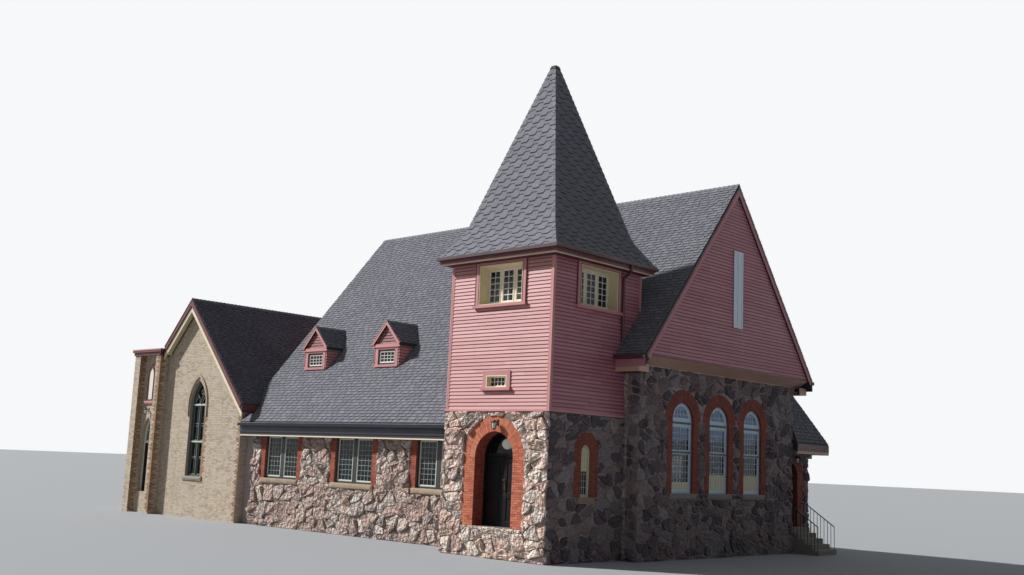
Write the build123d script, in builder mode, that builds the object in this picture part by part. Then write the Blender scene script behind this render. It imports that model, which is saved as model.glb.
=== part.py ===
import os
from math import atan2, cos, sin, sqrt

from build123d import *

# Millimetres. +X runs along the nave to the east gable, +Y is the depth, +Z is up.
# The origin is under the main door, on the foot of the walls, 225 mm behind the tower's front.

# Levels, from the foot of the walls
floor_top = 940
floor_thick = 220
stone_top = 4480
siding_top = 9285
tower_eave = 9510

# Walls. `seat` and `slip` part pieces that meet; `nick` and `overshoot` are what a cutting tool
# reaches past the face or the piece that it cuts.
tower_wall = 600
stone_wall = 450
board_wall = 380
frame_wall = 200
brick_wall = 330
reveal = 85
seat = 0.3
slip = 2
nick = 1
overshoot = 600

# Bell tower
tower_width = 4400
tower_front = -225
tower_left = -tower_width / 2
tower_right = tower_width / 2
tower_rear = tower_front + tower_width
tower_middle = (tower_front + tower_rear) / 2
upper_floor_top = 6900
corner_board = 90
board_proud = 25
drip_board = 60
drip_proud = 35

# Spire: a straight pyramid over a flatter skirt, with a bend where they meet
tower_overhang = 367
fascia_back = 47
spire_top = 16390
spire_top_half = 67.639
skirt_top = 10320
skirt_half = 1977.261
spire_slope = (skirt_half - spire_top_half) / (spire_top - skirt_top)
spire_tip = spire_top + spire_top_half / spire_slope
skirt_bend = 1800
roof_skin = 160
tower_gutter_out = 105
tower_gutter_height = 95
tower_pipe_y = 3175
tower_pipe_elbow = 190
tower_pipe_lean = 400

# Main doorway
arch_half = 812
arch_spring = 3046
arch_ring = 480
door_reveal = 430
door_frame_face = 70
door_frame_depth = 110
transom_height = 90
door_transom_z = 3145
leaf_thick = 56
leaf_gap = 8
meeting_gap = 14
leaf_border = 120
leaf_sink = 14
leaf_fields = ((0.07, 0.42), (0.48, 0.93))

# Butt hinges of the doors
pin_behind = 8
knuckle_radius = 7
knuckle_height = 50
hinge_plate = 5
hinge_reach = 40
hinge_count = 3

# Hall
gable_step = 600
gable_face = tower_right + gable_step
hall_west = -15800
ridge_y = 8320
ridge_z = 13100
hall_pitch = 1.2229
gable_half = 4855
aisle_half = 6940
roof_thick = 260
aisle_overhang = 395
gable_overhang = 540
west_verge = 230
east_verge = 590
gable_board_back = 60
gable_stone_top = 6214
gable_foot = 6450
gable_fascia = 95
soffit_drop = 150
side_setback = 450

# Pale strip let into the boarded gable
strip_y = 8380
strip_half = 300
strip_low = 7916
strip_high = 10662

# Gable windows
gable_window_half = 610
gable_window_sill = 2147
gable_window_spring = 4530
gable_window_pitch = 2215
gable_window_middle = 8145
meeting_rail_z = 3500
surround_side = 310
surround_ring = 440

# Aisle windows
aisle_window_width = 2160
aisle_window_sill = 1901
aisle_window_head = 3640
aisle_window_pitch = 4558
aisle_window_first = -4231
aisle_mullion = 230
jamb_strip = 300
sill_height = 190
sill_project = 70
sill_past = 150

# Window joinery
frame_face = 70
frame_depth = 90
bar_face = 55
glass_thick = 16

# Tower windows
belfry_half = 950
belfry_sill = 7860
belfry_head = 9150
belfry_lights = 3
belfry_depth = 330
lining = 30
sash_face = 75
casing = 150
casing_proud = 45
wood_sill = 90
wood_sill_project = 110
slot_half = 440
slot_sill = 5220
slot_head = 5600
slot_depth = 130
stair_window_half = 250
stair_window_y = 1603
stair_window_sill = 1962
stair_window_spring = 3310
stair_surround = 350
stair_surround_top = 3938
stair_frame_face = 52

# Dormers
dormer_xs = (-13400, -8890)
dormer_half = 750
dormer_ridge = 8190
dormer_rise = 890
dormer_eave = dormer_ridge - dormer_rise
dormer_side_height = 1300
dormer_foot = dormer_eave - dormer_side_height
dormer_sink = 347.146
dormer_face = ridge_y - (ridge_z - dormer_foot - dormer_sink) / hall_pitch
dormer_wall = 120
dormer_overhang = 90
dormer_roof = 70
dormer_window_half = 500
dormer_window_height = 590
dormer_head_drop = 230
dormer_window_head = dormer_eave - dormer_head_drop
dormer_window_sill = dormer_window_head - dormer_window_height
dormer_band_lift = 90
dormer_band_height = 110
dormer_band_low = dormer_window_head + dormer_band_lift
dormer_band_high = dormer_band_low + dormer_band_height
dormer_band_proud = 55

# Side door in the end of the rear aisle
side_door_y = 13960
side_door_half = 500
side_door_spring = 2880
side_ring = 440
hip_overhang = 700
hip_run = 944
step_run = 280
step_count = 5
landing = 420
stair_half = 700
rail_height = 900
rail_bar = 26
rail_deep = 40
rail_inset = 60
baluster = 16
baluster_pitch = 140

# Brick chapel at the west end
chapel_right = hall_west
chapel_front = 1029
chapel_ridge_x = -19888
chapel_ridge_z = 9544
chapel_pitch = 1.028
chapel_half = chapel_right - chapel_ridge_x
chapel_overhang = 470
chapel_verge = 350
chapel_roof_thick = 240
barge_back = 30
barge_thick = 40
barge_deep = 240
gothic_x = -19240
gothic_half = 600
gothic_sill = 1764
gothic_spring = 4870
gothic_rise = 1.75
gothic_reveal = 120
gothic_transoms = (3256, 4853)
side_window_half = 480
side_window_spring = 3480
side_window_transoms = (2700, 3463)
hood_width = 170
hood_drop = 500
hood_proud = 60
chapel_sill_height = 160

# Chapel entrance tower
porch_left = -24288
porch_right = -22000
porch_front = 611
porch_recess = 286
porch_left_pier = 480
porch_right_pier = 390
porch_depth = 2300
porch_top = 7160
porch_cornice_height = 230
porch_cornice_bed = 90
porch_cornice_out = 110
porch_door_half = 440
porch_door_spring = 3480
porch_door_rise = 1.8
porch_door_reveal = 150
porch_frame_face = 50
porch_transom = 3115
porch_transom_height = 100
lancet_half = 285
lancet_sill = 5025
lancet_spring = 6230
lancet_rise = 1.7
lancet_border = 90
lancet_proud = 30
lancet_sink = 18

# Gutters
gutter_width = 150
gutter_height = 120
gutter_wall = 12
gutter_drop = 40
gutter_end = 4
gutter_verge = 10
gutter_hip = 40
eave_lap = 20
pipe_radius = 45
pipe_off = 80

# Lanterns: where each one hangs
door_lantern_x = 120
door_lantern_z = 4130
porch_lantern_z = 4620
side_lantern_y = 14128
side_lantern_z = 3564
lantern_reach = 180
lantern_foot = 60
lantern_shoulder = 95
lantern_cap = 115
lantern_height = 200
lantern_peak = 80
lantern_tip = 20
lantern_plate = 18
lantern_arm = 24


def front_face(x, y):
    return Plane(origin=(x, y, 0), x_dir=(1, 0, 0), z_dir=(0, -1, 0))


def rear_face(x, y):
    return Plane(origin=(x, y, 0), x_dir=(-1, 0, 0), z_dir=(0, 1, 0))


def east_face(x, y):
    return Plane(origin=(x, y, 0), x_dir=(0, 1, 0), z_dir=(1, 0, 0))


def west_face(x, y):
    return Plane(origin=(x, y, 0), x_dir=(0, -1, 0), z_dir=(-1, 0, 0))


def panel(plane, low_x, high_x, low_z, high_z, out, depth):
    # a flat board: from `out` in front of the plane, `depth` thick towards its back
    with BuildPart() as piece:
        with BuildSketch(plane.offset(out)):
            with Locations(((low_x + high_x) / 2, (low_z + high_z) / 2)):
                Rectangle(high_x - low_x, high_z - low_z)
        extrude(amount=-depth)
    return piece.part


def outline_panel(plane, points, out, depth):
    with BuildPart() as piece:
        with BuildSketch(plane.offset(out)):
            with BuildLine():
                Polyline(*points, close=True)
            make_face()
        extrude(amount=-depth)
    return piece.part


def round_panel(plane, half, low_z, spring, out, depth):
    # a round-headed panel, centred on the plane's own origin
    legs = [(half, spring), (-half, spring)]
    if low_z < spring:
        legs[1:1] = [(half, low_z), (-half, low_z)]
    with BuildPart() as piece:
        with BuildSketch(plane.offset(out)):
            with BuildLine():
                Polyline(*legs)
                ThreePointArc((-half, spring), (0, spring + half), (half, spring))
            make_face()
        extrude(amount=-depth)
    return piece.part


def pointed_panel(plane, half, low_z, spring, rise, out, depth):
    # a pointed head from two arcs; `rise` is the head's height over its half width
    height = half * rise
    radius = (half * half + height * height) / (2 * half)
    middle = atan2(height, radius - half) / 2
    mid_x = radius * cos(middle) - (radius - half)
    mid_z = radius * sin(middle)
    legs = [(half, spring), (-half, spring)]
    if low_z < spring:
        legs[1:1] = [(half, low_z), (-half, low_z)]
    with BuildPart() as piece:
        with BuildSketch(plane.offset(out)):
            with BuildLine():
                Polyline(*legs)
                ThreePointArc((-half, spring), (-mid_x, spring + mid_z), (0, spring + height))
                ThreePointArc((0, spring + height), (mid_x, spring + mid_z), (half, spring))
            make_face()
        extrude(amount=-depth)
    return piece.part


def block(low_x, high_x, low_y, high_y, low_z, high_z):
    return panel(front_face(0, low_y), low_x, high_x, low_z, high_z, 0, high_y - low_y)


def cut(base, *tools):
    with BuildPart() as piece:
        add(base)
        for tool in tools:
            add(tool, mode=Mode.SUBTRACT)
    return piece.part


def together(*solids):
    with BuildPart() as piece:
        for solid in solids:
            add(solid)
    return piece.part


def save(piece, name):
    piece.label = name
    export_step(piece, "parts/" + name + ".step")


def roof_z(y):
    # top of the hall roof over depth y
    return ridge_z - hall_pitch * abs(ridge_y - y)


def chapel_z(x):
    # top of the chapel roof at x
    return chapel_ridge_z - chapel_pitch * abs(chapel_ridge_x - x)


hall_drop = roof_thick * sqrt(1 + hall_pitch ** 2)
chapel_drop = chapel_roof_thick * sqrt(1 + chapel_pitch ** 2)
aisle_front = ridge_y - aisle_half
aisle_rear = ridge_y + aisle_half
gable_front = ridge_y - gable_half
gable_rear = ridge_y + gable_half
aisle_eave_y = aisle_front - aisle_overhang
gable_eave_y = gable_front - gable_overhang
verge_west = hall_west - west_verge
verge_east = gable_face + east_verge
gable_board = verge_east - gable_board_back
side_face = gable_face - side_setback
aisle_windows = [aisle_window_first - i * aisle_window_pitch for i in range(3)]
gable_windows = [gable_window_middle + i * gable_window_pitch for i in (-1, 0, 1)]
chapel_left = chapel_ridge_x - chapel_half
chapel_rear = aisle_rear
porch_face = porch_front + porch_recess
porch_rear = porch_front + porch_depth
porch_middle = (porch_left + porch_right) / 2


# Window joinery, made on the plane of the wall's outer face

def light_edges(half, post, lights):
    # the left and right edge of each light between posts of the given width
    light = (2 * half - 2 * frame_face - (lights - 1) * post) / lights
    lows = [-half + frame_face + i * (light + post) for i in range(lights)]
    return [(low, low + light) for low in lows]


def flat_window(plane, half, sill, head, post, lights, out):
    frame = panel(plane, -half, half, sill, head, out, frame_depth)
    holes = [panel(plane, low, high, sill + frame_face, head - frame_face, out, frame_depth)
             for low, high in light_edges(half, post, lights)]
    return cut(frame, *holes)


def flat_glass(plane, half, sill, head, post, lights, out):
    depth = out - (frame_depth - glass_thick) / 2
    return [panel(plane, low, high, sill + frame_face, head - frame_face, depth, glass_thick)
            for low, high in light_edges(half, post, lights)]


def round_window(plane, half, sill, spring):
    # a round-headed frame with a bar at the spring and a meeting rail below it
    inner = half - frame_face
    frame = round_panel(plane, half, sill, spring, -reveal, frame_depth)
    hole = round_panel(plane, inner, sill + frame_face, spring, -reveal, frame_depth)
    bars = [panel(plane, -inner, inner, z - bar_face / 2, z + bar_face / 2, -reveal, frame_depth)
            for z in (meeting_rail_z, spring)]
    return together(cut(frame, hole), *bars)


def round_glass(plane, half, sill, spring):
    inner = half - frame_face
    depth = -reveal - (frame_depth - glass_thick) / 2
    pane = round_panel(plane, inner, sill + frame_face, spring, depth, glass_thick)
    bars = [panel(plane, -inner, inner, z - bar_face / 2, z + bar_face / 2, 0, stone_wall)
            for z in (meeting_rail_z, spring)]
    return cut(pane, *bars)


def round_surround(plane, half, sill, spring, side, ring):
    # brick jambs with an arch ring that is wider than they are
    outer = half + ring
    arch = cut(round_panel(plane, outer, spring, spring, 0, stone_wall),
               round_panel(plane, half, spring, spring, 0, stone_wall))
    jambs = [panel(plane, low, low + side, sill, spring, 0, stone_wall)
             for low in (-half - side, half)]
    return together(arch, *jambs)


def stone_sill(plane, half, top, thick):
    return panel(plane, -half - sill_past, half + sill_past, top - sill_height, top, sill_project,
                 thick + sill_project)


def hinge_side(plane, pin_x, reach, inner_out, heights):
    # plates on the inner face with a knuckle each; the sign of `reach` says which way they go
    solids = []
    for z in heights:
        solids.append(panel(plane, min(pin_x, pin_x + reach), max(pin_x, pin_x + reach), z,
                            z + knuckle_height, inner_out, hinge_plate))
        with BuildPart() as knuckle:
            with BuildSketch(Plane(plane.from_local_coords((pin_x, z, inner_out - pin_behind)))):
                Circle(knuckle_radius)
            extrude(amount=knuckle_height)
        solids.append(knuckle.part)
    return solids


def hinge_heights(low, high, lift):
    step = (high - low) / hinge_count
    return [low + (i + 0.5) * step + lift for i in range(hinge_count)]


# Ground floors and the belfry floor

def make_floors():
    low = floor_top - floor_thick
    hall = block(hall_west + stone_wall, gable_face - stone_wall, aisle_front + stone_wall,
                 aisle_rear - stone_wall, low, floor_top)
    tower_notch = block(tower_left, gable_face, tower_front, tower_rear, 0, stone_top)
    corner_notch = block(tower_right, gable_face, aisle_front, gable_front + stone_wall, 0, stone_top)
    rear_notch = block(side_face - stone_wall, gable_face, gable_rear - stone_wall, aisle_rear, 0,
                       stone_top)
    hall = cut(hall, tower_notch, corner_notch, rear_notch)
    tower = block(tower_left + tower_wall, tower_right - tower_wall, tower_front + tower_wall,
                  tower_rear - tower_wall, low, floor_top)
    belfry = block(tower_left + board_wall, tower_right - board_wall, tower_front + board_wall,
                   tower_rear - board_wall, upper_floor_top - floor_thick, upper_floor_top)
    chapel = block(chapel_left + brick_wall, chapel_right - brick_wall, chapel_front + brick_wall,
                   chapel_rear - brick_wall, low, floor_top)
    chapel = cut(chapel, block(chapel_left, porch_right, chapel_front, porch_rear, 0, stone_top))
    porch = block(porch_left + brick_wall, porch_right - brick_wall, porch_face + brick_wall,
                  porch_rear - brick_wall, low, floor_top)
    save(together(hall, tower, belfry, chapel, porch), "floors")


# Bell tower, stone storey

def make_tower_stone():
    outer = arch_half + arch_ring
    face = front_face(0, tower_front)
    ring_hole = round_panel(face, outer, arch_spring, arch_spring, 0, tower_wall)
    save(panel(face, tower_left, -outer, 0, stone_top, 0, tower_wall), "tower_front_wall_left")
    save(panel(face, outer, tower_right, 0, stone_top, 0, tower_wall), "tower_front_wall_right")
    over = panel(face, -outer, outer, arch_spring, stone_top, 0, tower_wall)
    save(cut(over, ring_hole), "tower_front_wall_over_door")
    save(panel(face, -outer, outer, 0, floor_top, 0, tower_wall), "tower_doorstep")

    depth_low = tower_front + tower_wall
    depth_high = tower_rear - tower_wall
    left = block(tower_left, tower_left + tower_wall, depth_low, depth_high, 0, stone_top)
    save(left, "tower_left_wall")

    side = east_face(tower_right, stair_window_y)
    right = block(tower_right - tower_wall, tower_right, depth_low, depth_high, 0, stone_top)
    right = cut(right, stair_surround_shape(side),
                stone_sill(side, stair_window_half, stair_window_sill, tower_wall))
    save(right, "tower_right_wall")

    inner_face = front_face(0, tower_rear - tower_wall)
    rear = panel(inner_face, tower_left, tower_right, 0, stone_top, 0, tower_wall)
    way_in = round_panel(inner_face, arch_half, floor_top, arch_spring, 0, tower_wall)
    save(cut(rear, way_in), "tower_rear_wall")


def stair_surround_shape(side):
    # brick jambs that step in once to a narrower head
    outer = stair_window_half + stair_surround
    shoulder = stair_window_spring + stair_window_half
    points = [(-outer, stair_window_sill), (outer, stair_window_sill), (outer, shoulder),
              (stair_window_half, stair_surround_top), (-stair_window_half, stair_surround_top),
              (-outer, shoulder)]
    return outline_panel(side, points, 0, tower_wall)


def make_stair_surround():
    side = east_face(tower_right, stair_window_y)
    return cut(stair_surround_shape(side),
               round_panel(side, stair_window_half, stair_window_sill, stair_window_spring, 0,
                           tower_wall))


# Bell tower, boarded storey

def tower_faces():
    return (front_face(0, tower_front), east_face(tower_right, tower_middle),
            west_face(tower_left, tower_middle))


def make_tower_siding():
    shell = cut(block(tower_left, tower_right, tower_front, tower_rear, stone_top, siding_top),
                block(tower_left + board_wall, tower_right - board_wall, tower_front + board_wall,
                      tower_rear - board_wall, stone_top, siding_top))
    trim = corner_boards() + drip_boards()
    holes = []
    for face in tower_faces():
        trim.extend(window_casing(face, belfry_half, belfry_sill, belfry_head))
        holes.append(panel(face, -belfry_half, belfry_half, belfry_sill, belfry_head, casing_proud,
                           board_wall + casing_proud))
    front = front_face(0, tower_front)
    trim.extend(window_casing(front, slot_half, slot_sill, slot_head))
    holes.append(panel(front, -slot_half, slot_half, slot_sill, slot_head, casing_proud,
                       board_wall + casing_proud))
    save(cut(together(shell, *trim), *holes), "tower_siding")


def window_casing(face, half, sill, head):
    # flat boards round a window, over a sill that stands further out
    top = min(head + casing, siding_top)
    outer = half + casing
    boards = panel(face, -outer, outer, sill, top, casing_proud, casing_proud)
    ledge = panel(face, -outer - casing_proud, outer + casing_proud, sill - wood_sill, sill,
                  wood_sill_project, wood_sill_project)
    return [boards, ledge]


def corner_boards():
    posts = []
    for x, sign in ((tower_left, -1), (tower_right, 1)):
        edges = sorted((x + sign * board_proud, x - sign * corner_board))
        posts.append(block(edges[0], edges[1], tower_front - board_proud,
                           tower_front + corner_board, stone_top, siding_top))
        foot = roof_z(tower_rear + board_proud) + drip_board
        posts.append(block(edges[0], edges[1], tower_rear - corner_board,
                           tower_rear + board_proud, foot, siding_top))
    return posts


def drip_boards():
    high = stone_top + drip_board
    front = front_face(0, tower_front)
    past = drip_proud
    left_end = aisle_eave_y - gutter_width - past
    right_end = gable_eave_y - gutter_width - past
    return [panel(front, tower_left - past, tower_right + past, stone_top, high, past, past),
            panel(west_face(tower_left, 0), -left_end, -tower_front, stone_top, high, past, past),
            panel(east_face(tower_right, 0), tower_front, right_end, stone_top, high, past, past)]


def belfry_frame(face):
    # a deep lined box with three casements at its back
    inner = belfry_half - lining
    box = cut(panel(face, -belfry_half, belfry_half, belfry_sill, belfry_head, casing_proud,
                    board_wall + casing_proud),
              panel(face, -inner, inner, belfry_sill + lining, belfry_head - lining, casing_proud,
                    board_wall + casing_proud))
    sashes = panel(face, -inner, inner, belfry_sill + lining, belfry_head - lining, -belfry_depth,
                   board_wall - belfry_depth)
    holes = [panel(face, low, high, belfry_sill + lining + sash_face,
                   belfry_head - lining - sash_face, -belfry_depth, board_wall - belfry_depth)
             for low, high in belfry_edges()]
    return together(box, cut(sashes, *holes))


def belfry_edges():
    inner = belfry_half - lining
    light = (2 * inner - (belfry_lights + 1) * sash_face) / belfry_lights
    lows = [-inner + sash_face + i * (light + sash_face) for i in range(belfry_lights)]
    return [(low, low + light) for low in lows]


def slot_frame(face):
    inner = slot_half - lining
    return cut(panel(face, -slot_half, slot_half, slot_sill, slot_head, casing_proud,
                     slot_depth + frame_depth + casing_proud),
               panel(face, -inner, inner, slot_sill + lining, slot_head - lining, casing_proud,
                     slot_depth + frame_depth + casing_proud))


def make_tower_windows():
    frames = []
    panes = []
    back = -belfry_depth - (board_wall - belfry_depth - glass_thick) / 2
    for face in tower_faces():
        frames.append(belfry_frame(face))
        for low, high in belfry_edges():
            panes.append(panel(face, low, high, belfry_sill + lining + sash_face,
                               belfry_head - lining - sash_face, back, glass_thick))
    face = front_face(0, tower_front)
    inner = slot_half - lining
    frames.append(slot_frame(face))
    panes.append(panel(face, -inner, inner, slot_sill + lining, slot_head - lining, -slot_depth,
                       glass_thick))
    side = east_face(tower_right, stair_window_y)
    inner = stair_window_half - stair_frame_face
    sill = stair_window_sill + stair_frame_face
    frames.append(cut(round_panel(side, stair_window_half, stair_window_sill, stair_window_spring,
                                  -reveal, frame_depth),
                      round_panel(side, inner, sill, stair_window_spring, -reveal, frame_depth)))
    panes.append(round_panel(side, inner, sill, stair_window_spring,
                             -reveal - (frame_depth - glass_thick) / 2, glass_thick))
    save(together(*frames), "tower_windows")
    save(together(*panes), "tower_glass")


# Bellcast spire: one profile run along X and one along Y, which meet in the four hips

def spire_profile(plane, inset):
    # half widths at the eave, at the bend and at the blunt top, all drawn in by `inset`
    eave = tower_width / 2 + tower_overhang - inset
    bend = spire_slope * (spire_tip - skirt_top) - inset
    top = min(spire_top, spire_tip - 2 * inset / spire_slope)
    end = spire_slope * (spire_tip - top) - inset
    with BuildSketch(plane) as profile:
        with BuildLine():
            Polyline((-eave, tower_eave), (eave, tower_eave), (bend, skirt_top), (end, top),
                     (-end, top), (-bend, skirt_top), close=True)
        make_face()
        bends = [v for v in profile.vertices() if abs(v.Y - skirt_top) < nick]
        fillet(bends, skirt_bend)
    return profile.sketch


def spire_body(inset):
    reach = tower_width
    with BuildPart() as body:
        extrude(spire_profile(front_face(0, tower_middle), inset), amount=reach, both=True)
        extrude(spire_profile(east_face(0, tower_middle), inset), amount=reach, both=True,
                mode=Mode.INTERSECT)
    return body.part


def make_spire():
    save(cut(spire_body(0), spire_body(roof_skin)), "tower_roof")
    half = tower_width / 2 + tower_overhang - fascia_back
    inside = tower_width / 2 - board_wall
    box = block(-half, half, tower_middle - half, tower_middle + half, siding_top, tower_eave)
    hole = block(-inside, inside, tower_middle - inside, tower_middle + inside, siding_top,
                 tower_eave)
    save(cut(box, hole), "tower_cornice")


def square_ring(outer, inner, low, high):
    return cut(block(-outer, outer, tower_middle - outer, tower_middle + outer, low, high),
               block(-inner, inner, tower_middle - inner, tower_middle + inner, low, high))


def make_tower_gutter():
    inner = tower_width / 2 + tower_overhang - fascia_back + seat
    outer = inner + tower_gutter_out
    top = tower_eave - seat
    low = top - tower_gutter_height
    trough = cut(square_ring(outer, inner, low, top),
                 square_ring(outer - gutter_wall, inner + gutter_wall, low + gutter_wall, top))
    start = outer - tower_gutter_out / 2
    pipe_x = tower_right + pipe_off
    foot = roof_z(tower_pipe_y) + 2 * gutter_drop
    with BuildPart() as pipe:
        with BuildLine():
            FilletPolyline((start, tower_pipe_y, low),
                           (start, tower_pipe_y, low - tower_pipe_elbow),
                           (pipe_x, tower_pipe_y, low - tower_pipe_lean),
                           (pipe_x, tower_pipe_y, foot), radius=2 * pipe_radius)
        with BuildSketch(Plane((start, tower_pipe_y, low), z_dir=(0, 0, -1))):
            Circle(pipe_radius)
        sweep()
    save(together(trough, pipe.part), "tower_gutter")


# Main doorway

def make_doorway():
    face = front_face(0, tower_front)
    outer = arch_half + arch_ring
    ring = cut(round_panel(face, outer, floor_top, arch_spring, 0, tower_wall),
               round_panel(face, arch_half, floor_top, arch_spring, 0, tower_wall))
    save(ring, "door_arch")

    inner = arch_half - door_frame_face
    back = -door_reveal - door_frame_depth
    frame = cut(round_panel(face, arch_half, floor_top, arch_spring, -door_reveal,
                            door_frame_depth),
                round_panel(face, inner, floor_top, arch_spring, -door_reveal, door_frame_depth))
    transom = panel(face, -inner, inner, door_transom_z - transom_height / 2,
                    door_transom_z + transom_height / 2, -door_reveal, door_frame_depth)
    plates = []
    for side in (-1, 1):
        plates.extend(hinge_side(face, side * (inner - leaf_gap / 2), side * hinge_reach, back,
                                 hinge_heights(floor_top, arch_spring, 0)))
    save(together(frame, transom, *plates), "door_frame")
    middle = -door_reveal - (door_frame_depth - glass_thick) / 2
    light = cut(round_panel(face, inner, arch_spring, arch_spring, middle, glass_thick),
                panel(face, -inner, inner, arch_spring, door_transom_z + transom_height / 2,
                      -door_reveal, door_frame_depth))
    save(light, "door_fanlight")
    for name, side in (("left_door", -1), ("right_door", 1)):
        save(door_leaf(face, side), name)


def door_leaf(face, side):
    # one leaf of the pair, with two sunk panels and its half of the hinges
    inner = arch_half - door_frame_face
    back = -door_reveal - door_frame_depth
    low = floor_top + leaf_gap
    high = door_transom_z - transom_height / 2 - leaf_gap
    near = side * meeting_gap / 2
    far = side * (inner - leaf_gap)
    leaf = panel(face, min(near, far), max(near, far), low, high, back + leaf_thick, leaf_thick)
    leaf = cut(leaf, *sunk_panels(face, min(near, far), max(near, far), low, high,
                                  back + leaf_thick))
    knuckles = hinge_side(face, side * (inner - leaf_gap / 2), -side * hinge_reach, back,
                          hinge_heights(floor_top, arch_spring, knuckle_height + seat))
    return together(leaf, *knuckles)


def sunk_panels(face, left, right, low, high, out):
    # a low panel and a taller one, each from one share of the leaf's height to another
    fields = []
    for bottom, top in leaf_fields:
        fields.append(panel(face, left + leaf_border, right - leaf_border,
                            low + bottom * (high - low), low + top * (high - low), out, leaf_sink))
    return fields


def lantern(face):
    # a six-sided lamp under a cap, held off the wall by an arm
    plate = panel(face, -lantern_foot, lantern_foot, -lantern_shoulder, lantern_shoulder,
                  lantern_plate, lantern_plate)
    arm = panel(face, -lantern_arm / 2, lantern_arm / 2, lantern_arm, 2 * lantern_arm,
                lantern_reach, lantern_reach - lantern_plate)
    centre = face.from_local_coords((0, 0, lantern_reach))
    shoulder = Plane(centre)
    with BuildPart() as lamp:
        with BuildSketch(shoulder.offset(-lantern_height)):
            RegularPolygon(lantern_foot, 6)
        with BuildSketch(shoulder):
            RegularPolygon(lantern_shoulder, 6)
        loft(ruled=True)
        with BuildSketch(shoulder):
            RegularPolygon(lantern_cap, 6)
        with BuildSketch(shoulder.offset(lantern_peak)):
            RegularPolygon(lantern_tip, 6)
        loft(ruled=True)
    return together(plate, arm, lamp.part)


def make_lanterns():
    lamps = []
    for plane, z in ((front_face(door_lantern_x, tower_front), door_lantern_z),
                     (front_face(porch_middle, porch_face), porch_lantern_z),
                     (east_face(side_face, side_lantern_y), side_lantern_z)):
        raised = Plane(origin=plane.from_local_coords((0, z, 0)), x_dir=plane.x_dir,
                       z_dir=plane.z_dir)
        lamps.append(lantern(raised))
    save(together(*lamps), "wall_lanterns")


# Hall walls

def make_hall_front_wall():
    face = front_face(0, aisle_front)
    top = roof_z(aisle_front) - hall_drop
    wall = panel(face, hall_west + stone_wall, tower_left, 0, top, 0, stone_wall)
    past = roof_z(aisle_front + stone_wall) - hall_drop
    wedge = outline_panel(east_face(hall_west + stone_wall, 0),
                          [(aisle_front, top), (aisle_front + stone_wall, top),
                           (aisle_front + stone_wall, past)], tower_left - hall_west - stone_wall,
                          tower_left - hall_west - stone_wall)
    holes = []
    for x in aisle_windows:
        middle = front_face(x, aisle_front)
        half = aisle_window_width / 2
        holes.append(panel(middle, -half - jamb_strip, half + jamb_strip, aisle_window_sill,
                           aisle_window_head, 0, stone_wall))
        holes.append(stone_sill(middle, half, aisle_window_sill, stone_wall))
    save(cut(together(wall, wedge), *holes), "hall_front_wall")

    corner = front_face(0, gable_front)
    top = roof_z(gable_front) - hall_drop
    past = roof_z(gable_front + stone_wall) - hall_drop
    post = panel(corner, tower_right, gable_face - stone_wall, 0, top, 0, stone_wall)
    wedge = outline_panel(east_face(tower_right, 0),
                          [(gable_front, top), (gable_front + stone_wall, top),
                           (gable_front + stone_wall, past)],
                          gable_face - stone_wall - tower_right,
                          gable_face - stone_wall - tower_right)
    save(together(post, wedge), "hall_corner_wall")


def make_gable_wall():
    # the stone part of the east wall, with its three round-headed openings
    face = east_face(gable_face, 0)
    wall = panel(face, gable_front, gable_rear, 0, gable_stone_top, 0, stone_wall)
    holes = []
    for y in gable_windows:
        middle = east_face(gable_face, y)
        holes.append(round_surround_hole(middle, gable_window_half, gable_window_sill,
                                         gable_window_spring, surround_side, surround_ring))
        holes.append(stone_sill(middle, gable_window_half, gable_window_sill, stone_wall))
    save(cut(wall, *holes), "gable_wall")


def round_surround_hole(plane, half, sill, spring, side, ring):
    arch = round_panel(plane, half + ring, spring, spring, 0, stone_wall)
    body = panel(plane, -half - side, half + side, sill, spring, 0, stone_wall)
    return together(arch, body)


def make_gable_siding():
    # the boarded gable hangs out over the stone wall, with a sloping soffit under its foot
    inside = gable_face - stone_wall
    reach = gable_board - inside
    peak = ridge_z - hall_drop
    wide = (peak - gable_stone_top) / hall_pitch
    envelope = outline_panel(east_face(gable_board, ridge_y),
                             [(-wide, gable_stone_top), (wide, gable_stone_top), (0, peak)], 0,
                             reach)
    hollow = block(inside, gable_board - frame_wall, ridge_y - wide, ridge_y + wide,
                   gable_foot + gable_fascia, peak)
    low = gable_stone_top - nick
    under = outline_panel(front_face(0, ridge_y - wide - nick),
                          [(gable_face, low), (gable_face, gable_stone_top),
                           (gable_board, gable_foot), (gable_board + nick, gable_foot),
                           (gable_board + nick, low)], 0, 2 * (wide + nick))
    strip = panel(east_face(gable_board, strip_y), -strip_half, strip_half, strip_low, strip_high,
                  board_proud, board_proud)
    save(together(cut(envelope, hollow, under), strip), "gable_siding")


def make_hall_rear_wall():
    face = rear_face(0, aisle_rear)
    top = roof_z(aisle_rear) - hall_drop
    past = roof_z(aisle_rear - stone_wall) - hall_drop
    low_x = hall_west + stone_wall
    high_x = side_face - stone_wall
    wall = panel(face, -high_x, -low_x, 0, top, 0, stone_wall)
    wedge = outline_panel(east_face(low_x, 0),
                          [(aisle_rear, top), (aisle_rear - stone_wall, top),
                           (aisle_rear - stone_wall, past)], high_x - low_x, high_x - low_x)
    holes = []
    for x in aisle_windows:
        middle = rear_face(x, aisle_rear)
        half = aisle_window_width / 2
        holes.append(panel(middle, -half - jamb_strip, half + jamb_strip, aisle_window_sill,
                           aisle_window_head, 0, stone_wall))
        holes.append(stone_sill(middle, half, aisle_window_sill, stone_wall))
    save(cut(together(wall, wedge), *holes), "hall_rear_wall")


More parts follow.
